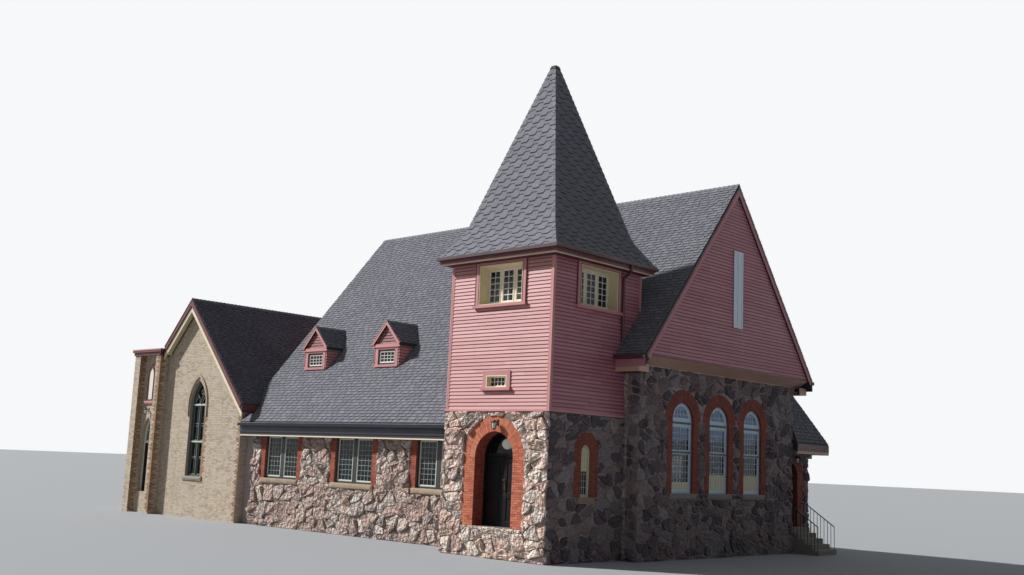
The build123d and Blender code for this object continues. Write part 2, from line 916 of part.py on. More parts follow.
def make_hall_west_wall():
    face = west_face(hall_west, 0)
    eave = roof_z(aisle_front) - hall_drop
    peak = ridge_z - hall_drop
    points = [(-aisle_front, 0), (-aisle_front, eave), (-ridge_y, peak), (-aisle_rear, eave),
              (-aisle_rear, 0)]
    save(outline_panel(face, points, 0, stone_wall), "hall_west_wall")


# Side door in the end wall of the rear aisle

def make_side_wall():
    face = east_face(side_face, side_door_y)
    outer = side_door_half + side_ring
    low_y = gable_rear - side_door_y
    high_y = aisle_rear - side_door_y
    top = side_wall_top(aisle_rear)
    wall = outline_panel(face, [(outer, 0), (high_y, 0), (high_y, top),
                                (outer, side_wall_top(side_door_y + outer))], 0, stone_wall)
    save(wall, "side_wall")
    over = outline_panel(face, [(low_y, side_door_spring), (outer, side_door_spring),
                                (outer, side_wall_top(side_door_y + outer)),
                                (low_y, side_wall_top(gable_rear))], 0, stone_wall)
    ring = round_panel(face, outer, side_door_spring, side_door_spring, 0, stone_wall)
    save(cut(over, ring), "side_wall_over_door")
    save(panel(face, low_y, outer, 0, floor_top, 0, stone_wall), "side_doorstep")


def side_wall_top(y):
    return roof_z(y) - hall_drop


def make_side_arch():
    face = east_face(side_face, side_door_y)
    outer = side_door_half + side_ring
    near = gable_rear - side_door_y
    ring = cut(round_panel(face, outer, floor_top, side_door_spring, 0, stone_wall),
               round_panel(face, side_door_half, floor_top, side_door_spring, 0, stone_wall),
               panel(face, -outer - nick, near, floor_top, side_door_spring + outer, 0, stone_wall))
    plates = hinge_side(face, side_door_half - leaf_gap / 2, hinge_reach, -stone_wall,
                        hinge_heights(floor_top, side_door_spring, 0))
    save(together(ring, *plates), "side_door_arch")


def make_side_door():
    face = east_face(side_face, side_door_y)
    low = floor_top + leaf_gap
    hung = -stone_wall + leaf_thick
    leaf = round_panel(face, side_door_half - leaf_gap, low, side_door_spring, hung, leaf_thick)
    edge = side_door_half - leaf_gap
    leaf = cut(leaf, *sunk_panels(face, -edge, edge, low, side_door_spring, hung))
    knuckles = hinge_side(face, side_door_half - leaf_gap / 2, -hinge_reach, -stone_wall,
                          hinge_heights(floor_top, side_door_spring, knuckle_height + seat))
    save(together(leaf, *knuckles), "side_door")


def make_side_steps():
    rise = floor_top / step_count
    low_y = side_door_y - stair_half
    high_y = side_door_y + stair_half
    start = side_face
    points = [(start, 0), (start, floor_top), (start + landing, floor_top)]
    for i in range(1, step_count):
        x = start + landing + (i - 1) * step_run
        points.append((x, floor_top - i * rise))
        points.append((x + step_run, floor_top - i * rise))
    points.append((start + landing + (step_count - 1) * step_run, 0))
    flight = outline_panel(front_face(0, low_y), points, 0, high_y - low_y)
    save(flight, "side_steps")


def rail_side(y):
    # one handrail with its posts and balusters, standing on the flight
    rise = floor_top / step_count
    slope = rise / step_run
    top_x = side_face + landing - 2 * rail_inset
    end_x = side_face + landing + (step_count - 1) * step_run - rail_inset
    first_x = side_face + rail_inset
    solids = [block(first_x, top_x, y - rail_bar / 2, y + rail_bar / 2,
                    floor_top + rail_height - rail_bar, floor_top + rail_height)]
    drop = slope * (end_x - top_x)
    top = floor_top + rail_height
    bar = outline_panel(front_face(0, y - rail_bar / 2),
                        [(top_x, top), (end_x, top - drop), (end_x, top - drop - rail_deep),
                         (top_x, top - rail_deep)], 0, rail_bar)
    solids.append(bar)
    count = int((end_x - first_x) / baluster_pitch)
    for i in range(count + 1):
        x = first_x + (end_x - first_x) * i / count
        size = rail_bar if i in (0, count) else baluster
        past = max(0, x - side_face - landing)
        step_index = 0 if past <= 0 else int(past / step_run) + 1
        foot = floor_top - step_index * rise
        high = top - slope * max(0, x - top_x) - rail_deep / 2
        solids.append(block(max(first_x, x - size / 2), min(end_x, x + size / 2), y - size / 2,
                            y + size / 2, foot, high))
    return together(*solids)


def make_side_railings():
    low_y = side_door_y - stair_half + rail_inset
    high_y = side_door_y + stair_half - rail_inset
    save(together(rail_side(low_y), rail_side(high_y)), "side_railings")


# Hall roof

def slope_profile(low_y, high_y):
    return [(low_y, roof_z(low_y)), (high_y, roof_z(high_y)), (high_y, roof_z(high_y) - hall_drop),
            (low_y, roof_z(low_y) - hall_drop)]


def slope_slab(low_x, high_x, low_y, high_y):
    return outline_panel(east_face(low_x, 0), slope_profile(low_y, high_y), high_x - low_x,
                         high_x - low_x)


def under_chapel_roof():
    # what the chapel and its roof take at the hall's west end
    edge = hall_west
    far = verge_west - overshoot
    near_y = aisle_eave_y - overshoot
    return outline_panel(front_face(0, near_y),
                         [(far, 0), (edge, 0), (edge, chapel_z(edge) + slip),
                          (far, chapel_z(far) + slip)], 0, 2 * (ridge_y - near_y))


def make_hall_roof():
    west = slope_slab(verge_west, tower_left, aisle_eave_y, ridge_y)
    behind = slope_slab(tower_left, tower_right, tower_rear, ridge_y)
    east = slope_slab(tower_right, verge_east, gable_eave_y, ridge_y)
    front = cut(together(west, behind, east), under_chapel_roof())
    save(front, "hall_roof_front")

    rear_aisle_y = 2 * ridge_y - aisle_eave_y
    rear_gable_y = 2 * ridge_y - gable_eave_y
    edge = side_face + hip_overhang
    main = slope_slab(verge_west, side_face, ridge_y, rear_aisle_y)
    gable = slope_slab(side_face, verge_east, ridge_y, rear_gable_y)
    above_hip = above_end_slope(edge, rear_gable_y, rear_aisle_y + nick, 0)
    hip = cut(under_hip(edge, 0), under_hip(edge, hall_drop))
    rear = together(cut(main, above_hip), gable, hip)
    save(cut(rear, under_chapel_roof()), "hall_roof_rear")


def above_end_slope(edge, low_y, high_y, lower):
    # all that lies over the steep end slope of the rear aisle, or `lower` beneath it
    low = roof_z(aisle_eave_y) - lower
    rise = 2 * (roof_z(gable_eave_y) - roof_z(aisle_eave_y))
    points = [(edge, low), (edge - 2 * hip_run, low + rise), (edge + overshoot, low + rise),
              (edge + overshoot, low)]
    return outline_panel(front_face(0, low_y), points, 0, high_y - low_y)


def under_hip(edge, lower):
    # the space under the hipped corner's two slopes, lowered by `lower`
    eave_y = 2 * ridge_y - aisle_eave_y
    foot = roof_z(eave_y) - hall_drop
    high = roof_z(gable_eave_y)
    body = block(side_face, edge, gable_rear, eave_y, foot, high)
    near = gable_rear - overshoot
    far = eave_y + overshoot
    above_rear = outline_panel(east_face(edge + nick, 0),
                               [(near, roof_z(near) - lower), (far, roof_z(far) - lower),
                                (far, ridge_z), (near, ridge_z)], 0, edge - side_face + 2 * nick)
    return cut(body, above_rear, above_end_slope(edge, gable_rear - nick, eave_y + nick, lower))


def make_hall_eaves():
    # fascia and boxed soffit under each run of eaves, and the boards under the verges
    solids = []
    runs = ((hall_west + slip, tower_left - slip, aisle_eave_y, aisle_front),
            (tower_right + slip, gable_board - frame_wall - slip, gable_eave_y, gable_front))
    for low_x, high_x, eave_y, wall_y in runs:
        for mirrored in (False, True):
            high = high_x
            if mirrored and low_x < 0:
                high = side_face - slip
            if mirrored and low_x > 0:
                low_x = side_face + hip_overhang + slip
            top = roof_z(wall_y - eave_lap) - hall_drop
            bottom = roof_z(eave_y) - hall_drop
            near_y = eave_y + eave_lap
            points = [(near_y, bottom + eave_lap * hall_pitch - seat),
                      (wall_y - seat, top + eave_lap), (wall_y - seat, bottom - soffit_drop),
                      (near_y, bottom - soffit_drop)]
            if wall_y == gable_front:
                level = gable_stone_top - seat
                level_y = ridge_y - (ridge_z - hall_drop - level) / hall_pitch
                points[1:2] = [(level_y, level), (wall_y - seat, level)]
            if mirrored:
                points = [(2 * ridge_y - y, z) for y, z in points]
            solids.append(outline_panel(east_face(low_x, 0), points, high - low_x, high - low_x))
    save(together(*solids), "hall_eaves")


def make_hall_gutters():
    solids = []
    runs = ((hall_west + gutter_end, tower_left - gutter_end, aisle_eave_y),
            (tower_right + gutter_end, verge_east - gutter_verge, gable_eave_y))
    for low_x, high_x, eave_y in runs:
        for mirrored in (False, True):
            top = roof_z(eave_y) - gutter_drop
            near = eave_y - seat
            far = eave_y - gutter_width
            if mirrored:
                near = 2 * ridge_y - near
                far = 2 * ridge_y - far
            if mirrored and low_x > 0:
                low_x = side_face + hip_overhang + gutter_hip
            trough = block(low_x, high_x, min(near, far), max(near, far), top - gutter_height, top)
            inner = block(low_x + gutter_wall, high_x - gutter_wall, min(near, far) + gutter_wall,
                          max(near, far) - gutter_wall, top - gutter_height + gutter_wall, top)
            solids.append(cut(trough, inner))
    save(together(*solids), "hall_gutters")


# Windows of the hall

def make_window_surrounds():
    solids = [make_stair_surround()]
    for y in gable_windows:
        solids.append(round_surround(east_face(gable_face, y), gable_window_half, gable_window_sill,
                                     gable_window_spring, surround_side, surround_ring))
    half = aisle_window_width / 2
    for x in aisle_windows:
        for face in (front_face(x, aisle_front), rear_face(x, aisle_rear)):
            for low in (-half - jamb_strip, half):
                solids.append(panel(face, low, low + jamb_strip, aisle_window_sill,
                                    aisle_window_head, 0, stone_wall))
    save(together(*solids), "window_surrounds")


def make_window_sills():
    solids = [stone_sill(east_face(tower_right, stair_window_y), stair_window_half,
                         stair_window_sill, tower_wall)]
    for y in gable_windows:
        solids.append(stone_sill(east_face(gable_face, y), gable_window_half, gable_window_sill,
                                 stone_wall))
    for x in aisle_windows:
        for face in (front_face(x, aisle_front), rear_face(x, aisle_rear)):
            solids.append(stone_sill(face, aisle_window_width / 2, aisle_window_sill, stone_wall))
    save(together(*solids), "window_sills")


def make_hall_windows():
    frames = []
    panes = []
    half = aisle_window_width / 2
    for x in aisle_windows:
        for face in (front_face(x, aisle_front), rear_face(x, aisle_rear)):
            size = (half, aisle_window_sill, aisle_window_head, aisle_mullion, 2, -reveal)
            frames.append(flat_window(face, *size))
            panes.extend(flat_glass(face, *size))
    for x in dormer_xs:
        face = front_face(x, dormer_face)
        out = -(dormer_wall - frame_depth) / 2
        size = (dormer_window_half, dormer_window_sill, dormer_window_head, 0, 1, out)
        frames.append(flat_window(face, *size))
        panes.extend(flat_glass(face, *size))
    save(together(*frames), "hall_windows")
    frames = []
    for y in gable_windows:
        face = east_face(gable_face, y)
        frames.append(round_window(face, gable_window_half, gable_window_sill, gable_window_spring))
        panes.append(round_glass(face, gable_window_half, gable_window_sill, gable_window_spring))
    save(together(*frames), "gable_windows")
    save(together(*panes), "hall_glass")


# Dormers

def make_dormers():
    save(together(*[dormer_house(x) for x in dormer_xs]), "dormers")
    save(together(*[dormer_cover(x) for x in dormer_xs]), "dormer_roofs")


def dormer_depth(z):
    # where the hall's roof reaches height z
    return ridge_y - (ridge_z - z) / hall_pitch


def dormer_lift():
    # height of the dormer roof's slab over its underside
    pitch = (dormer_ridge - dormer_eave) / (dormer_half + dormer_overhang)
    return pitch, dormer_roof * sqrt(1 + pitch ** 2)


def dormer_house(x):
    face = front_face(x, dormer_face)
    pitch, drop = dormer_lift()
    wall_top = dormer_eave + pitch * dormer_overhang - drop
    peak = dormer_ridge - drop
    length = dormer_depth(dormer_ridge) - dormer_face
    shape = [(-dormer_half, dormer_foot), (dormer_half, dormer_foot), (dormer_half, wall_top),
             (0, peak), (-dormer_half, wall_top)]
    inner = dormer_half - dormer_wall
    core = [(-inner, dormer_foot - nick), (inner, dormer_foot - nick), (inner, wall_top - dormer_wall),
            (0, peak - dormer_wall), (-inner, wall_top - dormer_wall)]
    house = cut(outline_panel(face, shape, 0, length),
                outline_panel(face, core, -dormer_wall, length))
    edge = dormer_half + dormer_band_proud
    band = panel(face, -edge, edge, dormer_band_low, dormer_band_high, dormer_band_proud,
                 dormer_band_proud)
    outer = dormer_window_half + casing
    boards = panel(face, -outer, outer, dormer_window_sill, dormer_band_low, board_proud,
                   board_proud)
    ledge = panel(face, -outer - board_proud, outer + board_proud,
                  dormer_window_sill - wood_sill, dormer_window_sill, dormer_band_proud,
                  dormer_band_proud)
    opening = panel(face, -dormer_window_half, dormer_window_half, dormer_window_sill,
                    dormer_window_head, board_proud, dormer_wall + board_proud)
    return cut(together(house, band, boards, ledge), opening, under_hall_roof(x),
               over_dormer_roof(face))


def over_dormer_roof(face):
    pitch, drop = dormer_lift()
    edge = dormer_half + dormer_overhang
    return outline_panel(face, [(-edge, dormer_eave - drop), (0, dormer_ridge - drop),
                                (edge, dormer_eave - drop), (edge, dormer_ridge + edge),
                                (-edge, dormer_ridge + edge)], dormer_overhang,
                         2 * dormer_overhang)


def under_hall_roof(x):
    low = dormer_face - overshoot
    high = dormer_depth(dormer_ridge) + overshoot
    return outline_panel(east_face(x, 0), [(low, roof_z(low) + seat), (high, roof_z(high) + seat),
                                           (high, dormer_foot / 2), (low, dormer_foot / 2)],
                         2 * dormer_half, 4 * dormer_half)


def dormer_cover(x):
    face = front_face(x, dormer_face)
    drop = dormer_lift()[1]
    edge = dormer_half + dormer_overhang
    length = dormer_depth(dormer_ridge) - dormer_face
    shape = [(-edge, dormer_eave), (0, dormer_ridge), (edge, dormer_eave),
             (edge, dormer_eave - drop), (0, dormer_ridge - drop), (-edge, dormer_eave - drop)]
    return cut(outline_panel(face, shape, dormer_overhang, length + dormer_overhang),
               under_hall_roof(x))


# Brick chapel

def make_chapel_walls():
    face = front_face(0, chapel_front)
    wall_top = chapel_z(chapel_right) - chapel_drop
    porch_side = chapel_z(porch_right) - chapel_drop
    peak = chapel_ridge_z - chapel_drop
    points = [(porch_right, 0), (chapel_right, 0), (chapel_right, wall_top), (chapel_ridge_x, peak),
              (porch_right, porch_side)]
    window = front_face(gothic_x, chapel_front)
    front = cut(outline_panel(face, points, 0, brick_wall),
                pointed_panel(window, gothic_half, gothic_sill, gothic_spring, gothic_rise, 0,
                              brick_wall))
    save(front, "chapel_front_wall")

    depth_low = chapel_front + brick_wall
    right = outline_panel(front_face(0, depth_low),
                          [(chapel_right - brick_wall, 0), (chapel_right, 0),
                           (chapel_right, wall_top),
                           (chapel_right - brick_wall, wall_top + chapel_pitch * brick_wall)], 0,
                          chapel_rear - brick_wall - depth_low)
    left = outline_panel(front_face(0, porch_rear),
                         [(chapel_left, 0), (chapel_left + brick_wall, 0),
                          (chapel_left + brick_wall, wall_top + chapel_pitch * brick_wall),
                          (chapel_left, wall_top)], 0, chapel_rear - brick_wall - porch_rear)
    holes = [pointed_panel(plane, side_window_half, gothic_sill, side_window_spring, gothic_rise,
                           0, brick_wall) for plane in side_window_planes()]
    save(together(right, cut(left, *holes)), "chapel_side_walls")
    rear = rear_face(0, chapel_rear)
    points = [(-chapel_left, 0), (-chapel_right, 0), (-chapel_right, wall_top),
              (-chapel_ridge_x, peak), (-chapel_left, wall_top)]
    save(outline_panel(rear, points, 0, brick_wall), "chapel_rear_wall")


def side_window_planes():
    planes = []
    for i in range(3):
        y = porch_rear + (chapel_rear - porch_rear) * (i + 0.5) / 3
        planes.append(west_face(chapel_left, y))
    return planes


def make_chapel_roof():
    edge = chapel_half + chapel_overhang
    low_y = chapel_front - chapel_verge
    high_y = chapel_rear + chapel_verge
    face = front_face(chapel_ridge_x, low_y)
    eave = chapel_ridge_z - chapel_pitch * edge
    shape = [(-edge, eave), (0, chapel_ridge_z), (edge, eave), (edge, eave - chapel_drop),
             (0, chapel_ridge_z - chapel_drop), (-edge, eave - chapel_drop)]
    roof = outline_panel(face, shape, 0, high_y - low_y)
    save(cut(roof, *porch_space(low_y), hall_space(high_y)), "chapel_roof")


def porch_space(low_y):
    # what the entrance tower and its cornice take out of the chapel's roof
    out = porch_cornice_out
    far = chapel_left - 2 * chapel_overhang
    return (block(far, porch_right, low_y - nick, porch_rear, 0, chapel_ridge_z),
            block(far, porch_right + out, low_y - nick, porch_rear + out, porch_top, chapel_ridge_z))


def hall_space(high_y):
    past = high_y + chapel_verge
    return outline_panel(east_face(hall_west, 0),
                         [(aisle_eave_y - seat, 0), (aisle_eave_y - seat, roof_z(aisle_eave_y)),
                          (ridge_y, ridge_z + seat), (past, roof_z(past)), (past, 0)],
                         2 * chapel_half, 2 * chapel_half)


def rake_strip(face, low_x, high_x, lift, deep, depth):
    # a band of the given depth, `lift` under the roof's top, from low_x over the ridge to high_x
    def under(x):
        return chapel_z(x) - chapel_drop - seat - lift
    middle = chapel_ridge_x
    points = [(low_x, under(low_x)), (middle, under(middle)), (high_x, under(high_x)),
              (high_x, under(high_x) - deep), (middle, under(middle) - deep),
              (low_x, under(low_x) - deep)]
    return outline_panel(face, points, 0, depth)


def make_chapel_eaves():
    # bargeboards with a boxed soffit behind them, and the fascia of the west eaves
    front_y = chapel_front - chapel_verge + barge_back
    rear_y = chapel_rear + chapel_verge - barge_back
    edge = chapel_overhang - barge_back
    left_x = porch_right + porch_cornice_out + slip
    front = front_face(0, front_y)
    barge = rake_strip(front, left_x, chapel_right + edge, 0, barge_deep, barge_thick)
    soffit = rake_strip(front_face(0, front_y + barge_thick), left_x, chapel_right - seat, 0,
                        barge_thick, chapel_front - seat - front_y - barge_thick)
    rear_barge = rake_strip(front_face(0, rear_y - barge_thick), chapel_left - edge,
                            chapel_right - seat, 0, barge_deep, barge_thick)
    rear_soffit = rake_strip(front_face(0, chapel_rear + seat), chapel_left - edge,
                             chapel_right - seat, 0, barge_thick,
                             rear_y - barge_thick - chapel_rear - seat)
    under = chapel_z(chapel_left - edge) - chapel_drop - seat
    low = under - barge_deep
    low_y = porch_rear + porch_cornice_out + seat
    inner = chapel_left - seat
    box = outline_panel(front_face(0, low_y),
                        [(chapel_left - edge, under), (chapel_left - edge, low), (inner, low),
                         (inner, under + chapel_pitch * (edge - seat))], 0,
                        rear_y - barge_thick - seat - low_y)
    box = cut(box, outline_panel(front_face(0, chapel_rear + seat),
                                 [(chapel_left - edge, under - barge_thick - nick),
                                  (chapel_left - edge, under + barge_deep),
                                  (inner + nick, under + barge_deep + chapel_pitch * edge),
                                  (inner + nick, under - barge_thick - nick + chapel_pitch * edge)], 0,
                                 chapel_verge))
    save(together(together(barge, soffit), together(rear_barge, rear_soffit), box), "chapel_eaves")


def gothic_frame(plane, half, sill, spring, transoms):
    # a pointed frame whose mullion forks into two small lancets under the head
    out = -gothic_reveal
    inner = half - frame_face
    frame = cut(pointed_panel(plane, half, sill, spring, gothic_rise, out, frame_depth),
                pointed_panel(plane, inner, sill + frame_face, spring, gothic_rise, out,
                              frame_depth))
    bars = [panel(plane, -bar_face / 2, bar_face / 2, sill + frame_face / 2, spring + bar_face, out,
                  frame_depth)]
    for z in transoms:
        bars.append(panel(plane, -inner, inner, z - bar_face / 2, z + bar_face / 2, out,
                          frame_depth))
    small = inner / 2
    for middle in (-small, small):
        shifted = Plane(origin=plane.from_local_coords((middle, 0, 0)), x_dir=plane.x_dir,
                        z_dir=plane.z_dir)
        bars.append(cut(pointed_panel(shifted, small, spring, spring, gothic_rise, out,
                                      frame_depth),
                        pointed_panel(shifted, small - bar_face / 2, spring - nick, spring,
                                      gothic_rise, out, frame_depth)))
    return together(frame, *bars)


def make_chapel_windows():
    sizes = [(front_face(gothic_x, chapel_front), gothic_half, gothic_spring, gothic_transoms)]
    for plane in side_window_planes():
        sizes.append((plane, side_window_half, side_window_spring, side_window_transoms))
    frames = []
    panes = []
    for plane, half, spring, transoms in sizes:
        frames.append(gothic_frame(plane, half, gothic_sill, spring, transoms))
        panes.append(pointed_panel(plane, half - frame_face, gothic_sill + frame_face, spring,
                                   gothic_rise, -gothic_reveal - frame_depth, glass_thick))
    save(together(*frames), "chapel_windows")
    save(together(*panes), "chapel_glass")


def make_chapel_trim():
    # the brick hood and sill of the pointed window, and the blind lancet of the entrance tower
    face = front_face(gothic_x, chapel_front)
    outer = gothic_half + hood_width
    low = gothic_spring - hood_drop
    hood = cut(pointed_panel(face, outer, low, gothic_spring, gothic_rise, hood_proud, hood_proud),
               pointed_panel(face, gothic_half + hood_width / 2, low - nick, gothic_spring,
                             gothic_rise, hood_proud, hood_proud))
    sill = panel(face, -outer, outer, gothic_sill - chapel_sill_height, gothic_sill, hood_proud,
                 hood_proud)
    tower = front_face(porch_middle, porch_face)
    lancet = cut(pointed_panel(tower, lancet_half, lancet_sill, lancet_spring, lancet_rise,
                               lancet_proud, lancet_proud),
                 pointed_panel(tower, lancet_half - lancet_border, lancet_sill + lancet_border,
                               lancet_spring, lancet_rise, lancet_proud, lancet_sink))
    ledge = panel(tower, -lancet_half - lancet_border, lancet_half + lancet_border,
                  lancet_sill - lancet_border, lancet_sill, lancet_border, lancet_border)
    save(together(hood, sill, lancet, ledge), "chapel_trim")


# Entrance tower of the chapel

def make_porch():
    face = front_face(porch_middle, porch_face)
    left = porch_left - porch_middle
    right = porch_right - porch_middle
    half = porch_door_half
    top = porch_top
    left_wall = together(panel(face, left, -half, 0, top, 0, brick_wall),
                         panel(face, left, left + porch_left_pier, 0, top, porch_recess,
                               porch_recess))
    right_wall = together(panel(face, half, right, 0, top, 0, brick_wall),
                          panel(face, right - porch_right_pier, right, 0, top, porch_recess,
                                porch_recess))
    save(left_wall, "porch_front_wall_left")
    save(right_wall, "porch_front_wall_right")
    over = panel(face, -half, half, porch_door_spring, top, 0, brick_wall)
    over = cut(over, pointed_panel(face, half, porch_door_spring - nick, porch_door_spring,
                                   porch_door_rise, 0, brick_wall))
    save(over, "porch_front_wall_over_door")
    save(panel(face, -half, half, 0, floor_top, 0, brick_wall), "porch_doorstep")

    depth_low = porch_face + brick_wall
    way = gothic_half - frame_face
    shell = cut(block(porch_left, porch_right, depth_low, porch_rear, 0, top),
                block(porch_left + brick_wall, porch_right - brick_wall, depth_low,
                      porch_rear - brick_wall, 0, top),
                block(porch_middle - way, porch_middle + way, porch_rear - brick_wall, porch_rear,
                      floor_top, porch_transom))
    save(shell, "porch_walls")

    out = porch_cornice_out
    bed = top + porch_cornice_bed
    cornice = together(
        block(porch_left - out, porch_right + out, porch_front - out, porch_rear + out, bed,
              top + porch_cornice_height),
        block(porch_left - out / 2, porch_right + out / 2, porch_front - out / 2,
              porch_rear + out / 2, top, bed))
    save(cornice, "porch_cornice")
    make_porch_door(face)


def make_porch_door(face):
    inner = porch_door_half - porch_frame_face
    out = -porch_door_reveal
    back = out - frame_depth
    frame = cut(pointed_panel(face, porch_door_half, floor_top, porch_door_spring, porch_door_rise,
                              out, frame_depth),
                pointed_panel(face, inner, floor_top, porch_door_spring, porch_door_rise, out,
                              frame_depth))
    bar = panel(face, -inner, inner, porch_transom, porch_transom + porch_transom_height, out,
                frame_depth)
    pin = -inner + leaf_gap / 2
    plates = hinge_side(face, pin, -hinge_reach, back, hinge_heights(floor_top, porch_transom, 0))
    save(together(frame, bar, *plates), "porch_door_frame")
    low = floor_top + leaf_gap
    high = porch_transom - leaf_gap
    edge = inner - leaf_gap
    leaf = panel(face, -edge, edge, low, high, back + leaf_thick, leaf_thick)
    leaf = cut(leaf, *sunk_panels(face, -edge, edge, low, high, back + leaf_thick))
    knuckles = hinge_side(face, pin, hinge_reach, back,
                          hinge_heights(floor_top, porch_transom, knuckle_height + seat))
    save(together(leaf, *knuckles), "porch_door")


os.makedirs("parts", exist_ok=True)
make_floors()
make_tower_stone()
make_tower_siding()
make_tower_windows()
make_spire()
make_tower_gutter()
make_doorway()
make_lanterns()
make_hall_front_wall()
make_gable_wall()
make_gable_siding()
make_hall_rear_wall()
make_hall_west_wall()
make_side_wall()
make_side_arch()
make_side_door()
make_side_steps()
make_side_railings()
make_hall_roof()
make_hall_eaves()
make_hall_gutters()
make_window_surrounds()
make_window_sills()
make_hall_windows()
make_dormers()
make_chapel_walls()
make_chapel_roof()
make_chapel_eaves()
make_chapel_windows()
make_chapel_trim()
make_porch()
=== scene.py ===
import bpy
import bmesh
import math
import random
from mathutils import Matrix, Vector


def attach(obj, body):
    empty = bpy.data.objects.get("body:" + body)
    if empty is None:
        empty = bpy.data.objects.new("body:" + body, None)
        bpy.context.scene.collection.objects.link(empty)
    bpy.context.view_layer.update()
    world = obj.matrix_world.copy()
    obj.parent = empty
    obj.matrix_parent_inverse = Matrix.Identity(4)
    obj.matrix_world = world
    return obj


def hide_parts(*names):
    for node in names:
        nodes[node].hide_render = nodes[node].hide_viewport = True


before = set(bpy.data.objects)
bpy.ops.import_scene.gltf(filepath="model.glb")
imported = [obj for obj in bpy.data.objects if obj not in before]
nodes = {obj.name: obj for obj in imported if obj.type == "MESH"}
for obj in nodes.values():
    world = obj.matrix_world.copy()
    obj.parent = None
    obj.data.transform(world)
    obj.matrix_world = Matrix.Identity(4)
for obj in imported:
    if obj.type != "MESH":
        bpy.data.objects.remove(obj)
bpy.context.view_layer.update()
print("frame loaded:", len(nodes), "nodes")

# Main levels and places of the building, in metres, as the frame has them
church = {
    "towerHalf": 2.2, "towerFront": -0.225, "towerRear": 4.175, "towerMiddle": 1.975,
    "stoneTop": 4.48, "sidingTop": 9.285, "towerEave": 9.51, "floorTop": 0.94,
    "gableFace": 2.8, "gableBoard": 3.33, "vergeEast": 3.39, "vergeWest": -16.03,
    "ridgeY": 8.32, "ridgeZ": 13.1, "hallPitch": 1.2229,
    "aisleFront": 1.38, "aisleRear": 15.26, "eaveY": 0.985, "gableEaveY": 2.925,
    "gableFront": 3.465, "gableRear": 13.175, "sideFace": 2.35, "hallWest": -15.8,
    "chapelX": -19.888, "chapelZ": 9.544, "chapelPitch": 1.028, "chapelFront": 1.029,
    "chapelHalf": 4.088, "chapelOver": 0.47, "chapelVerge": 0.35,
    "porchFace": 0.897, "porchFront": 0.611, "porchLeft": -24.288, "porchRight": -22.0,
    "porchRear": 2.911, "porchTop": 7.16,
}


# Outlines in a plane

def clip(outline, a, b, c):
    # what is left of a convex outline where a*u + b*v <= c
    kept = []
    for i, p in enumerate(outline):
        q = outline[i - 1]
        dp = a * p[0] + b * p[1] - c
        dq = a * q[0] + b * q[1] - c
        if (dp > 0) != (dq > 0):
            t = dq / (dq - dp)
            kept.append((q[0] + (p[0] - q[0]) * t, q[1] + (p[1] - q[1]) * t))
        if dp <= 0:
            kept.append(p)
    return kept


def above(cells, v):
    return [c for c in (clip(cell, 0, -1, -v) for cell in cells) if len(c) > 2]


def below(cells, v):
    return [c for c in (clip(cell, 0, 1, v) for cell in cells) if len(c) > 2]


def overlap(outline, cell):
    for i, p in enumerate(cell):
        q = cell[i - 1]
        a, b = p[1] - q[1], q[0] - p[0]
        outline = clip(outline, a, b, a * q[0] + b * q[1])
        if len(outline) < 3:
            return []
    return outline


def areaOf(outline):
    return sum(outline[i - 1][0] * p[1] - p[0] * outline[i - 1][1]
               for i, p in enumerate(outline)) / 2


def rect(lowU, lowV, highU, highV):
    return [(lowU, lowV), (highU, lowV), (highU, highV), (lowU, highV)]


def boxOf(outline):
    us = [p[0] for p in outline]
    vs = [p[1] for p in outline]
    return min(us), min(vs), max(us), max(vs)


def hull(points):
    points = sorted(set((round(p[0], 5), round(p[1], 5)) for p in points))
    def half(seq):
        line = []
        for p in seq:
            while len(line) > 1 and ((line[-1][0] - line[-2][0]) * (p[1] - line[-2][1])
                                     - (line[-1][1] - line[-2][1]) * (p[0] - line[-2][0])) <= 1e-9:
                line.pop()
            line.append(p)
        return line[:-1]
    return half(points) + half(points[::-1])


def inset(outline, gap):
    shrunk = outline
    for i, p in enumerate(outline):
        q = outline[i - 1]
        a, b = p[1] - q[1], q[0] - p[0]
        size = math.hypot(a, b)
        if size < 1e-6:
            continue
        shrunk = clip(shrunk, a / size, b / size, (a * q[0] + b * q[1]) / size - gap)
        if len(shrunk) < 3:
            return []
    return shrunk


def softened(outline, share):
    # cuts the corners of an outline
    cut = []
    for i, p in enumerate(outline):
        q = outline[i - 1]
        cut.append((q[0] + (p[0] - q[0]) * share, q[1] + (p[1] - q[1]) * share))
        cut.append((p[0] + (q[0] - p[0]) * share, p[1] + (q[1] - p[1]) * share))
    return cut


def isConvex(outline):
    for i in range(len(outline)):
        a, b, c = outline[i - 2], outline[i - 1], outline[i]
        if (b[0] - a[0]) * (c[1] - b[1]) - (b[1] - a[1]) * (c[0] - b[0]) < -1e-7:
            return False
    return True


def merged(cells):
    # joins neighbouring cells where the result is still convex
    def key(p):
        return round(p[0], 4), round(p[1], 4)
    busy = True
    while busy:
        busy = False
        edges = {}
        for i, cell in enumerate(cells):
            for k in range(len(cell)):
                edges[key(cell[k]), key(cell[(k + 1) % len(cell)])] = (i, k)
        gone = set()
        extra = []
        for (a, b), (i, k) in edges.items():
            other = edges.get((b, a))
            if not other or i in gone or other[0] in gone or other[0] == i:
                continue
            j, m = other
            first, second = cells[i], cells[j]
            joint = ([first[(k + 1 + n) % len(first)] for n in range(len(first))]
                     + [second[(m + 2 + n) % len(second)] for n in range(len(second) - 2)])
            if isConvex(joint):
                gone.update((i, j))
                extra.append(joint)
                busy = True
        cells = [c for i, c in enumerate(cells) if i not in gone] + extra
    return cells


